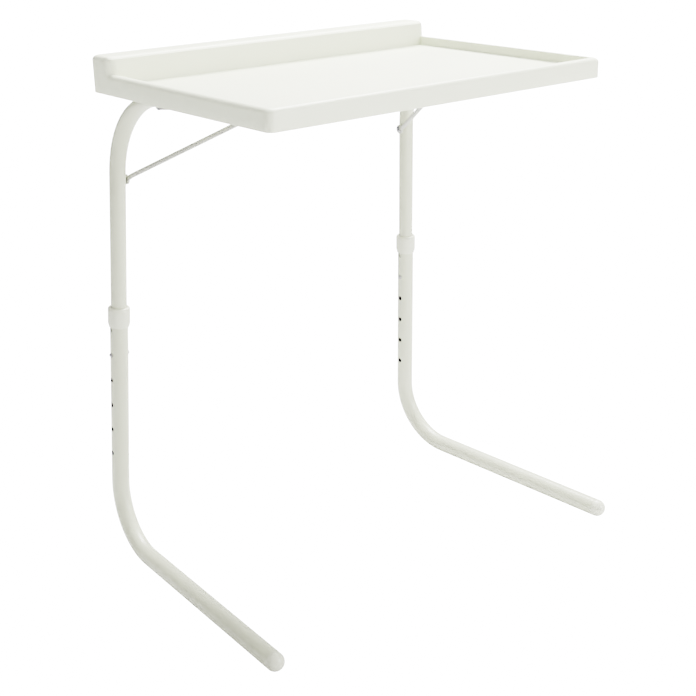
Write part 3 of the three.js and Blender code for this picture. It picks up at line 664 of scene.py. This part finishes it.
def upper_tube(leg):
    tail = leg["button"] - leg["post"] * UPPER_TAIL
    forward = Vector((0, -1, 0))
    end = leg["hinge"] - forward * KNUCKLE_NECK
    across = leg["post"].cross(forward).normalized()
    outer, inner = [], []
    stations = bent_line(tail, leg["arm_corner"], end, UPPER_BEND)
    last = len(stations) - 1
    for i, (place, direction, share) in enumerate(stations):
        squeeze = ARM_SQUEEZE * share * share * (3 - 2 * share)
        for rings, radius in ((outer, UPPER_RADIUS), (inner, UPPER_RADIUS - TUBE_WALL)):
            size = radius - (MOUTH if rings is outer and i in (0, last) else 0.0)
            rings.append(ring(place, direction, across, size * (1 + squeeze), size * (1 - squeeze)))
        if i in (0, last):
            inset = MOUTH if i == 0 else -MOUTH
            full = ring(place + direction * inset, direction, across,
                        UPPER_RADIUS * (1 + squeeze), UPPER_RADIUS * (1 - squeeze))
            outer.insert(len(outer) - (0 if i == 0 else 1), full)
    return hoops(outer + inner[::-1])


for leg in legs:
    piece(leg["name"] + "_upper_bent_tube", *upper_tube(leg), powder_coat,
          leg["name"] + "_upper_leg", leg["name"] + "_upper_tube")

# %% [markdown]
# ## The lower tubes and their holes
# A drilled hole in a curved wall shades badly if it is cut with a boolean. Here the tube's grid leaves
# out a small square round each hole, and faces run from that square to a true circle, and through the
# wall.

# %% The lower tubes
HOLE_PITCH = 38.1 * MM
HOLE_COUNT = 6
HOLE_IN_USE = 2
HOLE_RADIUS = 3.3 * MM
HOLE_CHAMFER = 0.35 * MM
PATCH = 3


def lower_tube(leg):
    post, outward, heel = leg["post"], leg["outward"], leg["heel"]
    toe = (leg["toe_end"] + Vector((0, 1, 0)) * LOWER_RADIUS - heel).normalized()
    low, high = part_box(leg["name"] + "_lower_tube")
    foot_end = heel + toe * ((low.y - heel.y) / toe.y)
    top = leg["at_height"](high.z - LOWER_RADIUS * math.sqrt(1 - post.z ** 2))
    cell = 2 * math.pi * LOWER_RADIUS / TUBE_SIDES
    used = (leg["button"] - heel).dot(post)
    centres = [used + HOLE_PITCH * (HOLE_IN_USE - 1 - i) for i in range(HOLE_COUNT)]
    stations = bent_line(foot_end, heel, top, LOWER_BEND)[:-1]
    rows = [(place, direction) for place, direction, _ in stations]
    patch_rows = []
    for centre in reversed(centres):
        first_row = len(rows)
        patch_rows.append((centre, first_row))
        rows += [(heel + post * (centre + cell * step), post) for step in range(-PATCH, PATCH + 1)]
    rows.append((top, post))
    across = outward
    points, faces, bore = [], [], []
    walls = (LOWER_RADIUS, LOWER_RADIUS - TUBE_WALL)
    for radius in walls:
        for place, direction in rows:
            points += ring(place, direction, across, radius, radius)
    size, count = TUBE_SIDES, len(rows)
    index = lambda wall, row, column: wall * count * size + row * size + column % size
    skipped = set()
    for _, first_row in patch_rows:
        for row in range(first_row, first_row + 2 * PATCH):
            for column in range(-PATCH, PATCH):
                skipped.add((row, column % size))
                skipped.add((row, (column + size // 2) % size))
    for wall in (0, 1):
        for row in range(count - 1):
            for column in range(size):
                if (row, column) not in skipped:
                    faces.append([index(wall, row, column), index(wall, row, column + 1),
                                  index(wall, row + 1, column + 1), index(wall, row + 1, column)])
    # The inner wall's faces, which take the near-black painted shade.
    bore += range(len(faces) // 2, len(faces))
    for row in (0, count - 1):
        for column in range(size):
            faces.append([index(0, row, column), index(0, row, column + 1),
                          index(1, row, column + 1), index(1, row, column)])
    up = post.cross(across).normalized()
    for centre, first_row in patch_rows:
        place = heel + post * centre
        for facing, start in ((1, 0), (-1, size // 2)):
            square = [(0, c) for c in range(-PATCH, PATCH)]
            square += [(r, PATCH) for r in range(0, 2 * PATCH)]
            square += [(2 * PATCH, c) for c in range(PATCH, -PATCH, -1)]
            square += [(r, -PATCH) for r in range(2 * PATCH, 0, -1)]
            circles = []
            for radius, hole, sink in (
                (walls[0], HOLE_RADIUS + HOLE_CHAMFER, 0.0),
                (walls[0], HOLE_RADIUS, HOLE_CHAMFER),
                (walls[1], HOLE_RADIUS, 0.0),
            ):
                circle = []
                for row, column in square:
                    angle = math.atan2(row - PATCH, column)
                    side, rise = hole * math.cos(angle) * facing, hole * math.sin(angle)
                    depth = math.sqrt(radius ** 2 - side ** 2) - sink
                    circle.append(len(points))
                    points.append(place + across * (facing * depth) + up * side + post * rise)
                circles.append(circle)
            border = [
                [index(wall, first_row + row, start + column) for row, column in square]
                for wall in (0, 1)
            ]
            for one, two in ((border[0], circles[0]), (circles[0], circles[1]), (circles[1], circles[2]),
                             (circles[2], border[1])):
                if one is not border[0]:
                    bore += range(len(faces), len(faces) + len(one))
                for i in range(len(one)):
                    after = (i + 1) % len(one)
                    faces.append([one[i], one[after], two[after], two[i]])
    return points, faces, bore


for leg in legs:
    points, faces, bore = lower_tube(leg)
    tube = piece(leg["name"] + "_lower_bent_tube", points, faces, powder_coat,
                 leg["name"] + "_lower_leg", leg["name"] + "_lower_tube")
    # The inside of the tube and the walls of its holes get the near-black finish: bare steel, darkened as painted
    # shade so that the holes read dark.
    tube.data.materials.append(bare_steel_and_painted_shade)
    for face in bore:
        tube.data.polygons[face].material_index = 1

# %% [markdown]
# ## Collars, caps and buttons
# The small plastic fittings and the buttons are all round, so a lathe is the way to make them. A profile is
# drawn in numbers and turned about its axis, with real rounded edges that catch the light.

# %% Turned fittings
COLLAR_RADIUS = 15.5 * MM
COLLAR_HEIGHT = 29.0 * MM
COLLAR_BORE = LOWER_RADIUS + 0.15 * MM
COLLAR_NECK = UPPER_RADIUS + 0.25 * MM
COLLAR_ABOVE_HOLE = 3.6 * MM
COLLAR_FLARE = [(1.0 * MM, 2.6 * MM), (0.3 * MM, 4.4 * MM), (0.0, 6.6 * MM), (0.0, 13.0 * MM)]
COLLAR_LIP = 3.0 * MM
COLLAR_BEAD = 3.6 * MM
COLLAR_MOUTH_INSET = 2.0 * MM
COLLAR_MOUTH_EDGE = 0.8 * MM
CAP_EDGE = 0.6 * MM
CAP_SPIGOT = 18.0 * MM
SPIGOT_CHAMFER = 1.0 * MM
SPIGOT_PLAY = 0.3 * MM
BUTTON_ROOT = 5.0 * MM
BUTTON_FLANGE = 1.0 * MM
BUTTON_DOME = 1.9 * MM
BUTTON_RADIUS = 2.9 * MM
BUTTON_PROUD = 2.6 * MM
CAP_RING = 3.0 * MM


def collar_profile():
    """From the mouth up the outside, in over the shoulder, and down the bore."""
    return (
        [(COLLAR_BORE, 0.0), (COLLAR_RADIUS - COLLAR_MOUTH_INSET, 0.0)]
        + arc(COLLAR_RADIUS - COLLAR_MOUTH_INSET, COLLAR_MOUTH_EDGE, COLLAR_MOUTH_EDGE, -60, 0, 3)
        + [(COLLAR_RADIUS - inset, height) for inset, height in COLLAR_FLARE]
        + [(COLLAR_RADIUS, COLLAR_HEIGHT - 5.0 * MM)]
        + arc(COLLAR_RADIUS - COLLAR_BEAD, COLLAR_HEIGHT - COLLAR_BEAD, COLLAR_BEAD, 0, 82, 8)
        + [(COLLAR_NECK + 0.3 * MM, COLLAR_HEIGHT), (COLLAR_NECK, COLLAR_HEIGHT - 0.3 * MM)]
        + [(COLLAR_NECK, COLLAR_HEIGHT - COLLAR_LIP), (COLLAR_BORE, COLLAR_HEIGHT - COLLAR_LIP)]
        + [(COLLAR_BORE, 0.0)]
    )


def cap_profile():
    """A plug whose dome carries on the foot's round end."""
    neck = LOWER_RADIUS - TUBE_WALL - SPIGOT_PLAY
    root = -CAP_RING - CAP_SPIGOT
    return (
        [(0.0, root), (neck - SPIGOT_CHAMFER, root), (neck, root + SPIGOT_CHAMFER)]
        + [(neck, -CAP_RING), (LOWER_RADIUS - CAP_EDGE, -CAP_RING)]
        + arc(LOWER_RADIUS - CAP_EDGE, -CAP_RING + CAP_EDGE, CAP_EDGE, -60, 0, 3)
        + arc(0.0, 0.0, LOWER_RADIUS, 0, 84, 14)
        + [(0.0, LOWER_RADIUS)]
    )


def button_profile():
    """A headed pin with a domed tip."""
    tip = LOWER_RADIUS + BUTTON_PROUD
    root, flange = BUTTON_ROOT, BUTTON_ROOT + BUTTON_FLANGE
    rim = BUTTON_RADIUS + BUTTON_FLANGE
    return (
        [(0.0, root), (rim, root), (rim, flange)]
        + [(BUTTON_RADIUS, flange), (BUTTON_RADIUS, tip - BUTTON_DOME)]
        + [(BUTTON_RADIUS * math.cos(a), tip - BUTTON_DOME + BUTTON_DOME * math.sin(a))
           for a in (math.radians(15 * i) for i in range(1, 6))]
        + [(0.0, tip)]
    )


for leg in legs:
    name, post = leg["name"], leg["post"]
    hole_top = (leg["button"] - leg["heel"]).dot(post) + HOLE_PITCH * (HOLE_IN_USE - 1)
    foot = leg["heel"] + post * (hole_top + COLLAR_ABOVE_HOLE)
    piece(name + "_tube_collar", *turned(collar_profile(), foot, post), fitting_plastic,
          name + "_lower_leg", name + "_collar")
    low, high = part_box(name + "_foot_cap")
    toe = Vector((leg["side"] * math.sin(math.radians(3)), -math.cos(math.radians(3)), 0))
    seat = leg["heel"] + toe * ((low.y + LOWER_RADIUS - leg["heel"].y) / toe.y)
    piece(name + "_domed_cap", *turned(cap_profile(), seat, toe), fitting_plastic,
          name + "_lower_leg", name + "_foot_cap")
    for which, facing in (("outer", 1), ("inner", -1)):
        points = turned(button_profile(), leg["button"], leg["outward"] * facing, 32)
        piece(name + "_" + which + "_snap_button", *points, zinc_plate,
              name + "_" + which + "_button", name + "_" + which + "_button")

# %% [markdown]
# ## The bail
# The tilt bail is one bent wire with flattened ends. Its straight points come from the frame, and a
# Geometry Nodes tree rounds the corners and gives the wire its thickness, because that follows any path.
# The flattened eyes are turned discs with a rivet's hole.

# %% A wire tree
BAIL_RADIUS = 3.3 * MM
BAIL_BEND = 12.0 * MM
BAIL_EYE = 7.0 * MM
EYE_THICKNESS = 3.0 * MM
RIVET_HOLE = 2.7 * MM
BAR_HALF_LENGTH = 137.0 * MM
BAIL_TONGUE = 13.0 * MM


def tree_input(tree, name, kind, value):
    socket = tree.interface.new_socket(name, in_out="INPUT", socket_type=kind)
    if value is not None:
        socket.default_value = value
    return socket


def wire_tree():
    """Rounds a path's corners and sweeps a circle along it."""
    tree = bpy.data.node_groups.new("bent wire", "GeometryNodeTree")
    tree.interface.new_socket("Geometry", in_out="INPUT", socket_type="NodeSocketGeometry")
    tree.interface.new_socket("Geometry", in_out="OUTPUT", socket_type="NodeSocketGeometry")
    sockets = [
        tree_input(tree, "Wire radius", "NodeSocketFloat", 3 * MM),
        tree_input(tree, "Bend radius", "NodeSocketFloat", 10 * MM),
        tree_input(tree, "Finish", "NodeSocketMaterial", None),
    ]
    make, link = tree.nodes.new, tree.links.new
    start, end = make("NodeGroupInput"), make("NodeGroupOutput")
    path, bend, circle, sweep = (make("GeometryNode" + kind) for kind in (
        "MeshToCurve", "FilletCurve", "CurvePrimitiveCircle", "CurveToMesh"))
    smooth, realize, paint = (make("GeometryNode" + kind) for kind in (
        "SetShadeSmooth", "RealizeInstances", "SetMaterial"))
    bend.mode = "POLY"
    bend.inputs["Count"].default_value = 10
    circle.inputs["Resolution"].default_value = 32
    sweep.inputs["Fill Caps"].default_value = True
    link(start.outputs["Geometry"], path.inputs["Mesh"])
    link(path.outputs["Curve"], bend.inputs["Curve"])
    link(start.outputs["Bend radius"], bend.inputs["Radius"])
    link(start.outputs["Wire radius"], circle.inputs["Radius"])
    link(bend.outputs["Curve"], sweep.inputs["Curve"])
    link(circle.outputs["Curve"], sweep.inputs["Profile Curve"])
    link(sweep.outputs["Mesh"], smooth.inputs["Geometry"])
    link(smooth.outputs["Geometry"], realize.inputs["Geometry"])
    link(realize.outputs["Geometry"], paint.inputs["Geometry"])
    link(start.outputs["Finish"], paint.inputs["Material"])
    link(paint.outputs["Geometry"], end.inputs["Geometry"])
    return tree, {socket.name: socket.identifier for socket in sockets}


def grown(name, mesh, tree, values):
    """Runs a Geometry Nodes tree on a mesh and returns the plain mesh that it makes."""
    holder = bpy.data.objects.new(name, mesh)
    bpy.context.scene.collection.objects.link(holder)
    growth = holder.modifiers.new("growth", "NODES")
    for identifier, value in values.items():
        growth[identifier] = value
    growth.node_group = tree
    for identifier, value in values.items():
        growth[identifier] = value
    holder.update_tag()
    bpy.context.view_layer.update()
    ready = holder.evaluated_get(bpy.context.evaluated_depsgraph_get())
    made = bpy.data.meshes.new_from_object(ready)
    bpy.data.objects.remove(holder)
    made.name = name
    return made

# %% The bail's wire
bail_low, bail_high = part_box("tilt_bail")
bar_y = bail_low.y + BAIL_RADIUS
bar_z = bail_high.z - BAIL_RADIUS
eye_y = bail_high.y - BAIL_EYE
eye_z = bail_low.z + BAIL_EYE
outer_face = bail_high.x
wire_points = []
for side in (-1, 1):
    root = Vector((side * (outer_face - BAIL_RADIUS), eye_y, eye_z))
    bar_end = Vector((side * BAR_HALF_LENGTH, bar_y, bar_z))
    climb = Vector((0, bar_y - eye_y, bar_z - eye_z)).normalized()
    run = [root + climb * (BAIL_EYE * 0.8), root + climb * BAIL_TONGUE, bar_end]
    wire_points += run if side < 0 else run[::-1]
wire_path = bpy.data.meshes.new("bail path")
wire_path.from_pydata([tuple(p) for p in wire_points], [(i, i + 1) for i in range(len(wire_points) - 1)], [])
tree, ids = wire_tree()
wire = grown("bail wire", wire_path, tree, {
    ids["Wire radius"]: BAIL_RADIUS, ids["Bend radius"]: BAIL_BEND, ids["Finish"]: bail_coat,
})
settle("bail_wire", wire, bail_coat, "tilt_bail", "tilt_bail")

# %% The bail's eyes and rivets
eye_half = EYE_THICKNESS / 2
eye_edge = 0.7 * MM
eye_profile = (
    [(RIVET_HOLE, -eye_half), (BAIL_EYE - eye_edge, -eye_half)]
    + arc(BAIL_EYE - eye_edge, -eye_half + eye_edge, eye_edge, -60, 0, 3)
    + arc(BAIL_EYE - eye_edge, eye_half - eye_edge, eye_edge, 0, 60, 3)
    + [(BAIL_EYE - eye_edge, eye_half), (RIVET_HOLE, eye_half), (RIVET_HOLE, -eye_half)]
)
RIVET_RADIUS = 2.4 * MM
RIVET_BORE = 1.5 * MM
RIVET_HEAD = 1.8 * MM
RIVET_HEAD_RADIUS = 4.6 * MM
RIVET_CROWN = [(0.62, 0.0), (0.88, 0.5 * MM), (1.0, 1.2 * MM)]
RIVET_LIP = 0.5 * MM
RIVET_DEPTH = 3.0 * MM
RIVET_TIP = 0.4 * MM
RIVET_BULB = 1.6 * MM
RIVET_BULGE = 1.0 * MM
for leg in legs:
    side, name = leg["side"], leg["name"]
    eye_x = side * (outer_face - eye_half)
    eye = Vector((eye_x, eye_y, eye_z))
    piece(name + "_bail_eye", *turned(eye_profile, eye, Vector((side, 0, 0)), 48), bail_coat, "tilt_bail")
    low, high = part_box(name + "_bail_rivet")
    head_x = low.x if side > 0 else high.x
    length = high.x - low.x
    rivet_profile = (
        [(0.0, RIVET_DEPTH + RIVET_TIP), (RIVET_BORE, RIVET_DEPTH)]
        + [(RIVET_BORE, RIVET_LIP), (RIVET_BORE + RIVET_LIP, 0.0)]
        + [(RIVET_HEAD_RADIUS * share, back) for share, back in RIVET_CROWN]
        + [(RIVET_HEAD_RADIUS, RIVET_HEAD), (RIVET_RADIUS, RIVET_HEAD)]
        + [(RIVET_RADIUS, length - 2 * RIVET_BULB)]
        + [(RIVET_RADIUS + RIVET_BULGE, length - RIVET_BULB), (RIVET_RADIUS, length), (0.0, length)]
    )
    place = Vector((head_x, eye_y, eye_z))
    piece(name + "_hollow_rivet", *turned(rivet_profile, place, Vector((side, 0, 0)), 40), zinc_plate,
          name + "_upper_leg", name + "_bail_rivet")

# %% [markdown]
# ## What is under the deck
# Underneath, thin ribs stiffen the deck and round bosses take the screws. The ribs are simple bars whose
# edges are rounded. Bosses and screws repeat at eight spots, so one of each is turned and Geometry Nodes
# sets them.

# %% Ribs
RIB_WIDTH = 2.0 * MM
RIB_EMBED = 1.0 * MM
RIB_ROUND = 0.5 * MM
RIB_OFFSET = 200.0 * MM
RIB_STATIONS = [50.0 * MM, 195.0 * MM, 300.0 * MM]
rib_bottom = deck_under - RIB_DROP
bracket_low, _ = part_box("right_hinge_bracket")
rib_reach = bracket_low.x - 4.0 * MM


def soft_bar(low, high, edge):
    """A box whose lower edges are rounded, as four points a corner and three levels."""
    points, levels = [], []
    step = edge * 0.3
    for inset, height in ((edge, low.z), (step, low.z + step), (0.0, low.z + edge), (0.0, high.z)):
        levels.append([
            Vector((low.x + inset, low.y + inset, height)), Vector((high.x - inset, low.y + inset, height)),
            Vector((high.x - inset, high.y - inset, height)), Vector((low.x + inset, high.y - inset, height)),
        ])
    for level in levels:
        points += level
    faces = [[0, 3, 2, 1], [12, 13, 14, 15]]
    for level in range(3):
        for i in range(4):
            after = (i + 1) % 4
            faces.append([level * 4 + i, level * 4 + after, level * 4 + 4 + after, level * 4 + 4 + i])
    return points, faces


rib_boxes = [((-rib_reach, y), (rib_reach, y + RIB_WIDTH)) for y in (tray_low.y + s for s in RIB_STATIONS)]
for side in (-1, 1):
    rib_boxes.append((
        (side * RIB_OFFSET - RIB_WIDTH / 2, tray_low.y + SHELL / 2),
        (side * RIB_OFFSET + RIB_WIDTH / 2, tray_low.y + ledge_front + SHELL / 2),
    ))
rib_points, rib_faces = [], []
for low, high in rib_boxes:
    points, faces = soft_bar(
        Vector((*low, rib_bottom)), Vector((*high, deck_under + RIB_EMBED)), RIB_ROUND)
    rib_faces += [[corner + len(rib_points) for corner in face] for face in faces]
    rib_points += points
piece("deck_ribs", rib_points, rib_faces, tray_plastic, "tray")

# %% Bosses and screws
BOSS_RADIUS = 5.0 * MM
BOSS_DROP = 8.0 * MM
BOSS_EDGE = 0.6 * MM
PILOT_RADIUS = 2.1 * MM
SCREW_HEAD_RADIUS = 3.6 * MM
SCREW_HEAD = 2.2 * MM
screw_names = [f"{side}_{what}_screw_{end}" for side in ("left", "right") for what in ("bracket", "rack")
               for end in ("front", "rear")]
boss_profile = (
    [(PILOT_RADIUS, 0.0), (BOSS_RADIUS - BOSS_EDGE, 0.0)]
    + arc(BOSS_RADIUS - BOSS_EDGE, BOSS_EDGE, BOSS_EDGE, -60, 0, 3)
    + [(BOSS_RADIUS, BOSS_DROP + RIB_EMBED), (PILOT_RADIUS, BOSS_DROP + RIB_EMBED), (PILOT_RADIUS, 0.0)]
)


def scatter_tree():
    """Sets a copy of a model at every point of a mesh."""
    tree = bpy.data.node_groups.new("copies at points", "GeometryNodeTree")
    tree.interface.new_socket("Geometry", in_out="INPUT", socket_type="NodeSocketGeometry")
    tree.interface.new_socket("Geometry", in_out="OUTPUT", socket_type="NodeSocketGeometry")
    sockets = [
        tree_input(tree, "Model", "NodeSocketObject", None),
        tree_input(tree, "Finish", "NodeSocketMaterial", None),
    ]
    make, link = tree.nodes.new, tree.links.new
    start, end = make("NodeGroupInput"), make("NodeGroupOutput")
    spots, model, copies = (make("GeometryNode" + kind) for kind in (
        "MeshToPoints", "ObjectInfo", "InstanceOnPoints"))
    realize, paint = make("GeometryNodeRealizeInstances"), make("GeometryNodeSetMaterial")
    link(start.outputs["Geometry"], spots.inputs["Mesh"])
    link(start.outputs["Model"], model.inputs["Object"])
    link(spots.outputs["Points"], copies.inputs["Points"])
    link(model.outputs["Geometry"], copies.inputs["Instance"])
    link(copies.outputs["Instances"], realize.inputs["Geometry"])
    link(realize.outputs["Geometry"], paint.inputs["Geometry"])
    link(start.outputs["Finish"], paint.inputs["Material"])
    link(paint.outputs["Geometry"], end.inputs["Geometry"])
    return tree, {socket.name: socket.identifier for socket in sockets}


def screw_model():
    """A pan head with a cross recess, looking down, and the start of its shank above."""
    points, faces, sides = [], [], 48
    cross, slot, sink = 2.0 * MM, 0.42 * MM, 1.1 * MM
    rings = []
    for radius, height, star in (
        (0.0, sink, False), (1.0, sink, True), (1.12, 0.0, True),
        (SCREW_HEAD_RADIUS * 0.72, 0.0, False), (SCREW_HEAD_RADIUS * 0.93, 0.55 * MM, False),
        (SCREW_HEAD_RADIUS, 1.2 * MM, False), (SCREW_HEAD_RADIUS, SCREW_HEAD, False),
        (1.8 * MM, SCREW_HEAD, False), (1.8 * MM, 8.0 * MM, False), (0.0, 9.6 * MM, False),
    ):
        if radius == 0.0:
            rings.append([len(points)] * sides)
            points.append(Vector((0, 0, height)))
            continue
        rings.append(list(range(len(points), len(points) + sides)))
        for i in range(sides):
            angle = 2 * math.pi * i / sides
            reach = radius
            if star:
                near = max(abs(math.cos(angle)), abs(math.sin(angle)))
                far = min(abs(math.cos(angle)), abs(math.sin(angle)))
                reach = radius * min(cross / near, slot / max(far, 1e-6))
            points.append(Vector((reach * math.cos(angle), reach * math.sin(angle), height)))
    for below, above in zip(rings, rings[1:]):
        for i in range(sides):
            after = (i + 1) % sides
            corners = [below[i], below[after], above[after], above[i]]
            kept = [c for k, c in enumerate(corners) if c not in corners[:k]]
            if len(kept) > 2:
                faces.append(kept)
    return points, faces


def set_at(name, model_points, model_faces, spots, material, body, *nodes):
    """Sets copies of a model at spots with Geometry Nodes and makes them one piece."""
    model_mesh = bpy.data.meshes.new(name + " model")
    model_mesh.from_pydata([tuple(point) for point in model_points], [], model_faces)
    model = bpy.data.objects.new(name + " model", model_mesh)
    bpy.context.scene.collection.objects.link(model)
    spot_mesh = bpy.data.meshes.new(name + " spots")
    spot_mesh.from_pydata([tuple(spot) for spot in spots], [], [])
    made = grown(name, spot_mesh, copies_tree, {
        copies_ids["Model"]: model, copies_ids["Finish"]: material,
    })
    bpy.data.objects.remove(model)
    return settle(name, made, material, body, *nodes)


copies_tree, copies_ids = scatter_tree()
screw_spots = []
for node in screw_names:
    low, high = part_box(node)
    screw_spots.append(Vector(((low.x + high.x) / 2, (low.y + high.y) / 2, low.z)))
boss_spots = [Vector((spot.x, spot.y, deck_under - BOSS_DROP)) for spot in screw_spots]
boss = turned(boss_profile, Vector(), Vector((0, 0, 1)), 40)
set_at("screw_bosses", *boss, boss_spots, tray_plastic, "tray")
set_at("pan_head_screws", *screw_model(), screw_spots, zinc_plate, "tray", *screw_names)

# %% [markdown]
# ## Light and floor
# The table stands in a white studio with no visible horizon. The room is much brighter to the camera than
# to the table, so it reads as clean white while the table keeps its shading. It lights the table more
# from above than from the sides. One strong soft lamp hangs above and to the right, one stands in front,
# and a weak one lifts the shade on the left.

# %% The room
ROOM_GLOW_LOW = 0.22
ROOM_GLOW_HIGH = 1.5
ROOM_WHITE = 22.0
world = bpy.data.worlds.new("studio")
world.use_nodes = True
bench = Bench(world.node_tree)
glow = world.node_tree.nodes["Background"]
glow.inputs["Color"].default_value = (1, 1, 1, 1)
seen = bench.add("ShaderNodeLightPath", out="Is Camera Ray")
backdrop = bench.add("ShaderNodeBackground", {}, {"Color": (1, 1, 1, 1), "Strength": ROOM_WHITE})
sky = bench.add("ShaderNodeTexCoord", out="Generated")
height = bench.add("ShaderNodeSeparateXYZ", {}, {"Vector": sky}, "Z").clipped()
strength = height * (ROOM_GLOW_HIGH - ROOM_GLOW_LOW) + ROOM_GLOW_LOW
world.node_tree.links.new(strength.socket, glow.inputs["Strength"])
both = bench.add("ShaderNodeMixShader", {}, {"Fac": seen})
world.node_tree.links.new(glow.outputs[0], both.socket.node.inputs[1])
world.node_tree.links.new(backdrop.socket, both.socket.node.inputs[2])
world.node_tree.links.new(both.socket, world.node_tree.nodes["World Output"].inputs["Surface"])
bpy.context.scene.world = world

# %% The floor
FLOOR_REACH = 9.0
floor_mesh = bpy.data.meshes.new("floor")
corners = [(-FLOOR_REACH, -FLOOR_REACH, 0), (FLOOR_REACH, -FLOOR_REACH, 0),
           (FLOOR_REACH, FLOOR_REACH, 0), (-FLOOR_REACH, FLOOR_REACH, 0)]
floor_mesh.from_pydata(corners, [], [(0, 1, 2, 3)])
floor = bpy.data.objects.new("floor", floor_mesh)
bpy.context.scene.collection.objects.link(floor)
paper = bpy.data.materials.new("studio paper")
paper.use_nodes = True
bench = Bench(paper.node_tree)
matt = paper.node_tree.nodes["Principled BSDF"]
matt.inputs["Base Color"].default_value = (0.88, 0.88, 0.88, 1)
matt.inputs["Roughness"].default_value = 0.9
white = bench.add("ShaderNodeEmission", {}, {"Color": (1, 1, 1, 1), "Strength": ROOM_WHITE})
seen = bench.add("ShaderNodeLightPath", out="Is Camera Ray")
both = bench.add("ShaderNodeMixShader", {}, {"Fac": seen})
paper.node_tree.links.new(matt.outputs[0], both.socket.node.inputs[1])
paper.node_tree.links.new(white.socket, both.socket.node.inputs[2])
paper.node_tree.links.new(both.socket, paper.node_tree.nodes["Material Output"].inputs["Surface"])
floor.data.materials.append(paper)

# %% The lamps
TABLE_MIDDLE = Vector((0, 0, 0.45))


def soft_lamp(name, place, size, power):
    lamp = bpy.data.lights.new(name, "AREA")
    lamp.shape = "SQUARE"
    lamp.size = size
    lamp.energy = power
    holder = bpy.data.objects.new(name, lamp)
    holder.location = place
    holder.rotation_mode = "QUATERNION"
    holder.rotation_quaternion = (TABLE_MIDDLE - Vector(place)).to_track_quat("-Z", "Y")
    bpy.context.scene.collection.objects.link(holder)


soft_lamp("overhead soft box", (1.2, 0.7, 2.6), 1.4, 540)
soft_lamp("front soft box", (1.3, -2.9, 1.3), 1.5, 225)
soft_lamp("left soft box", (-2.9, -0.9, 1.6), 1.2, 22)
print("three lamps and a bright room")
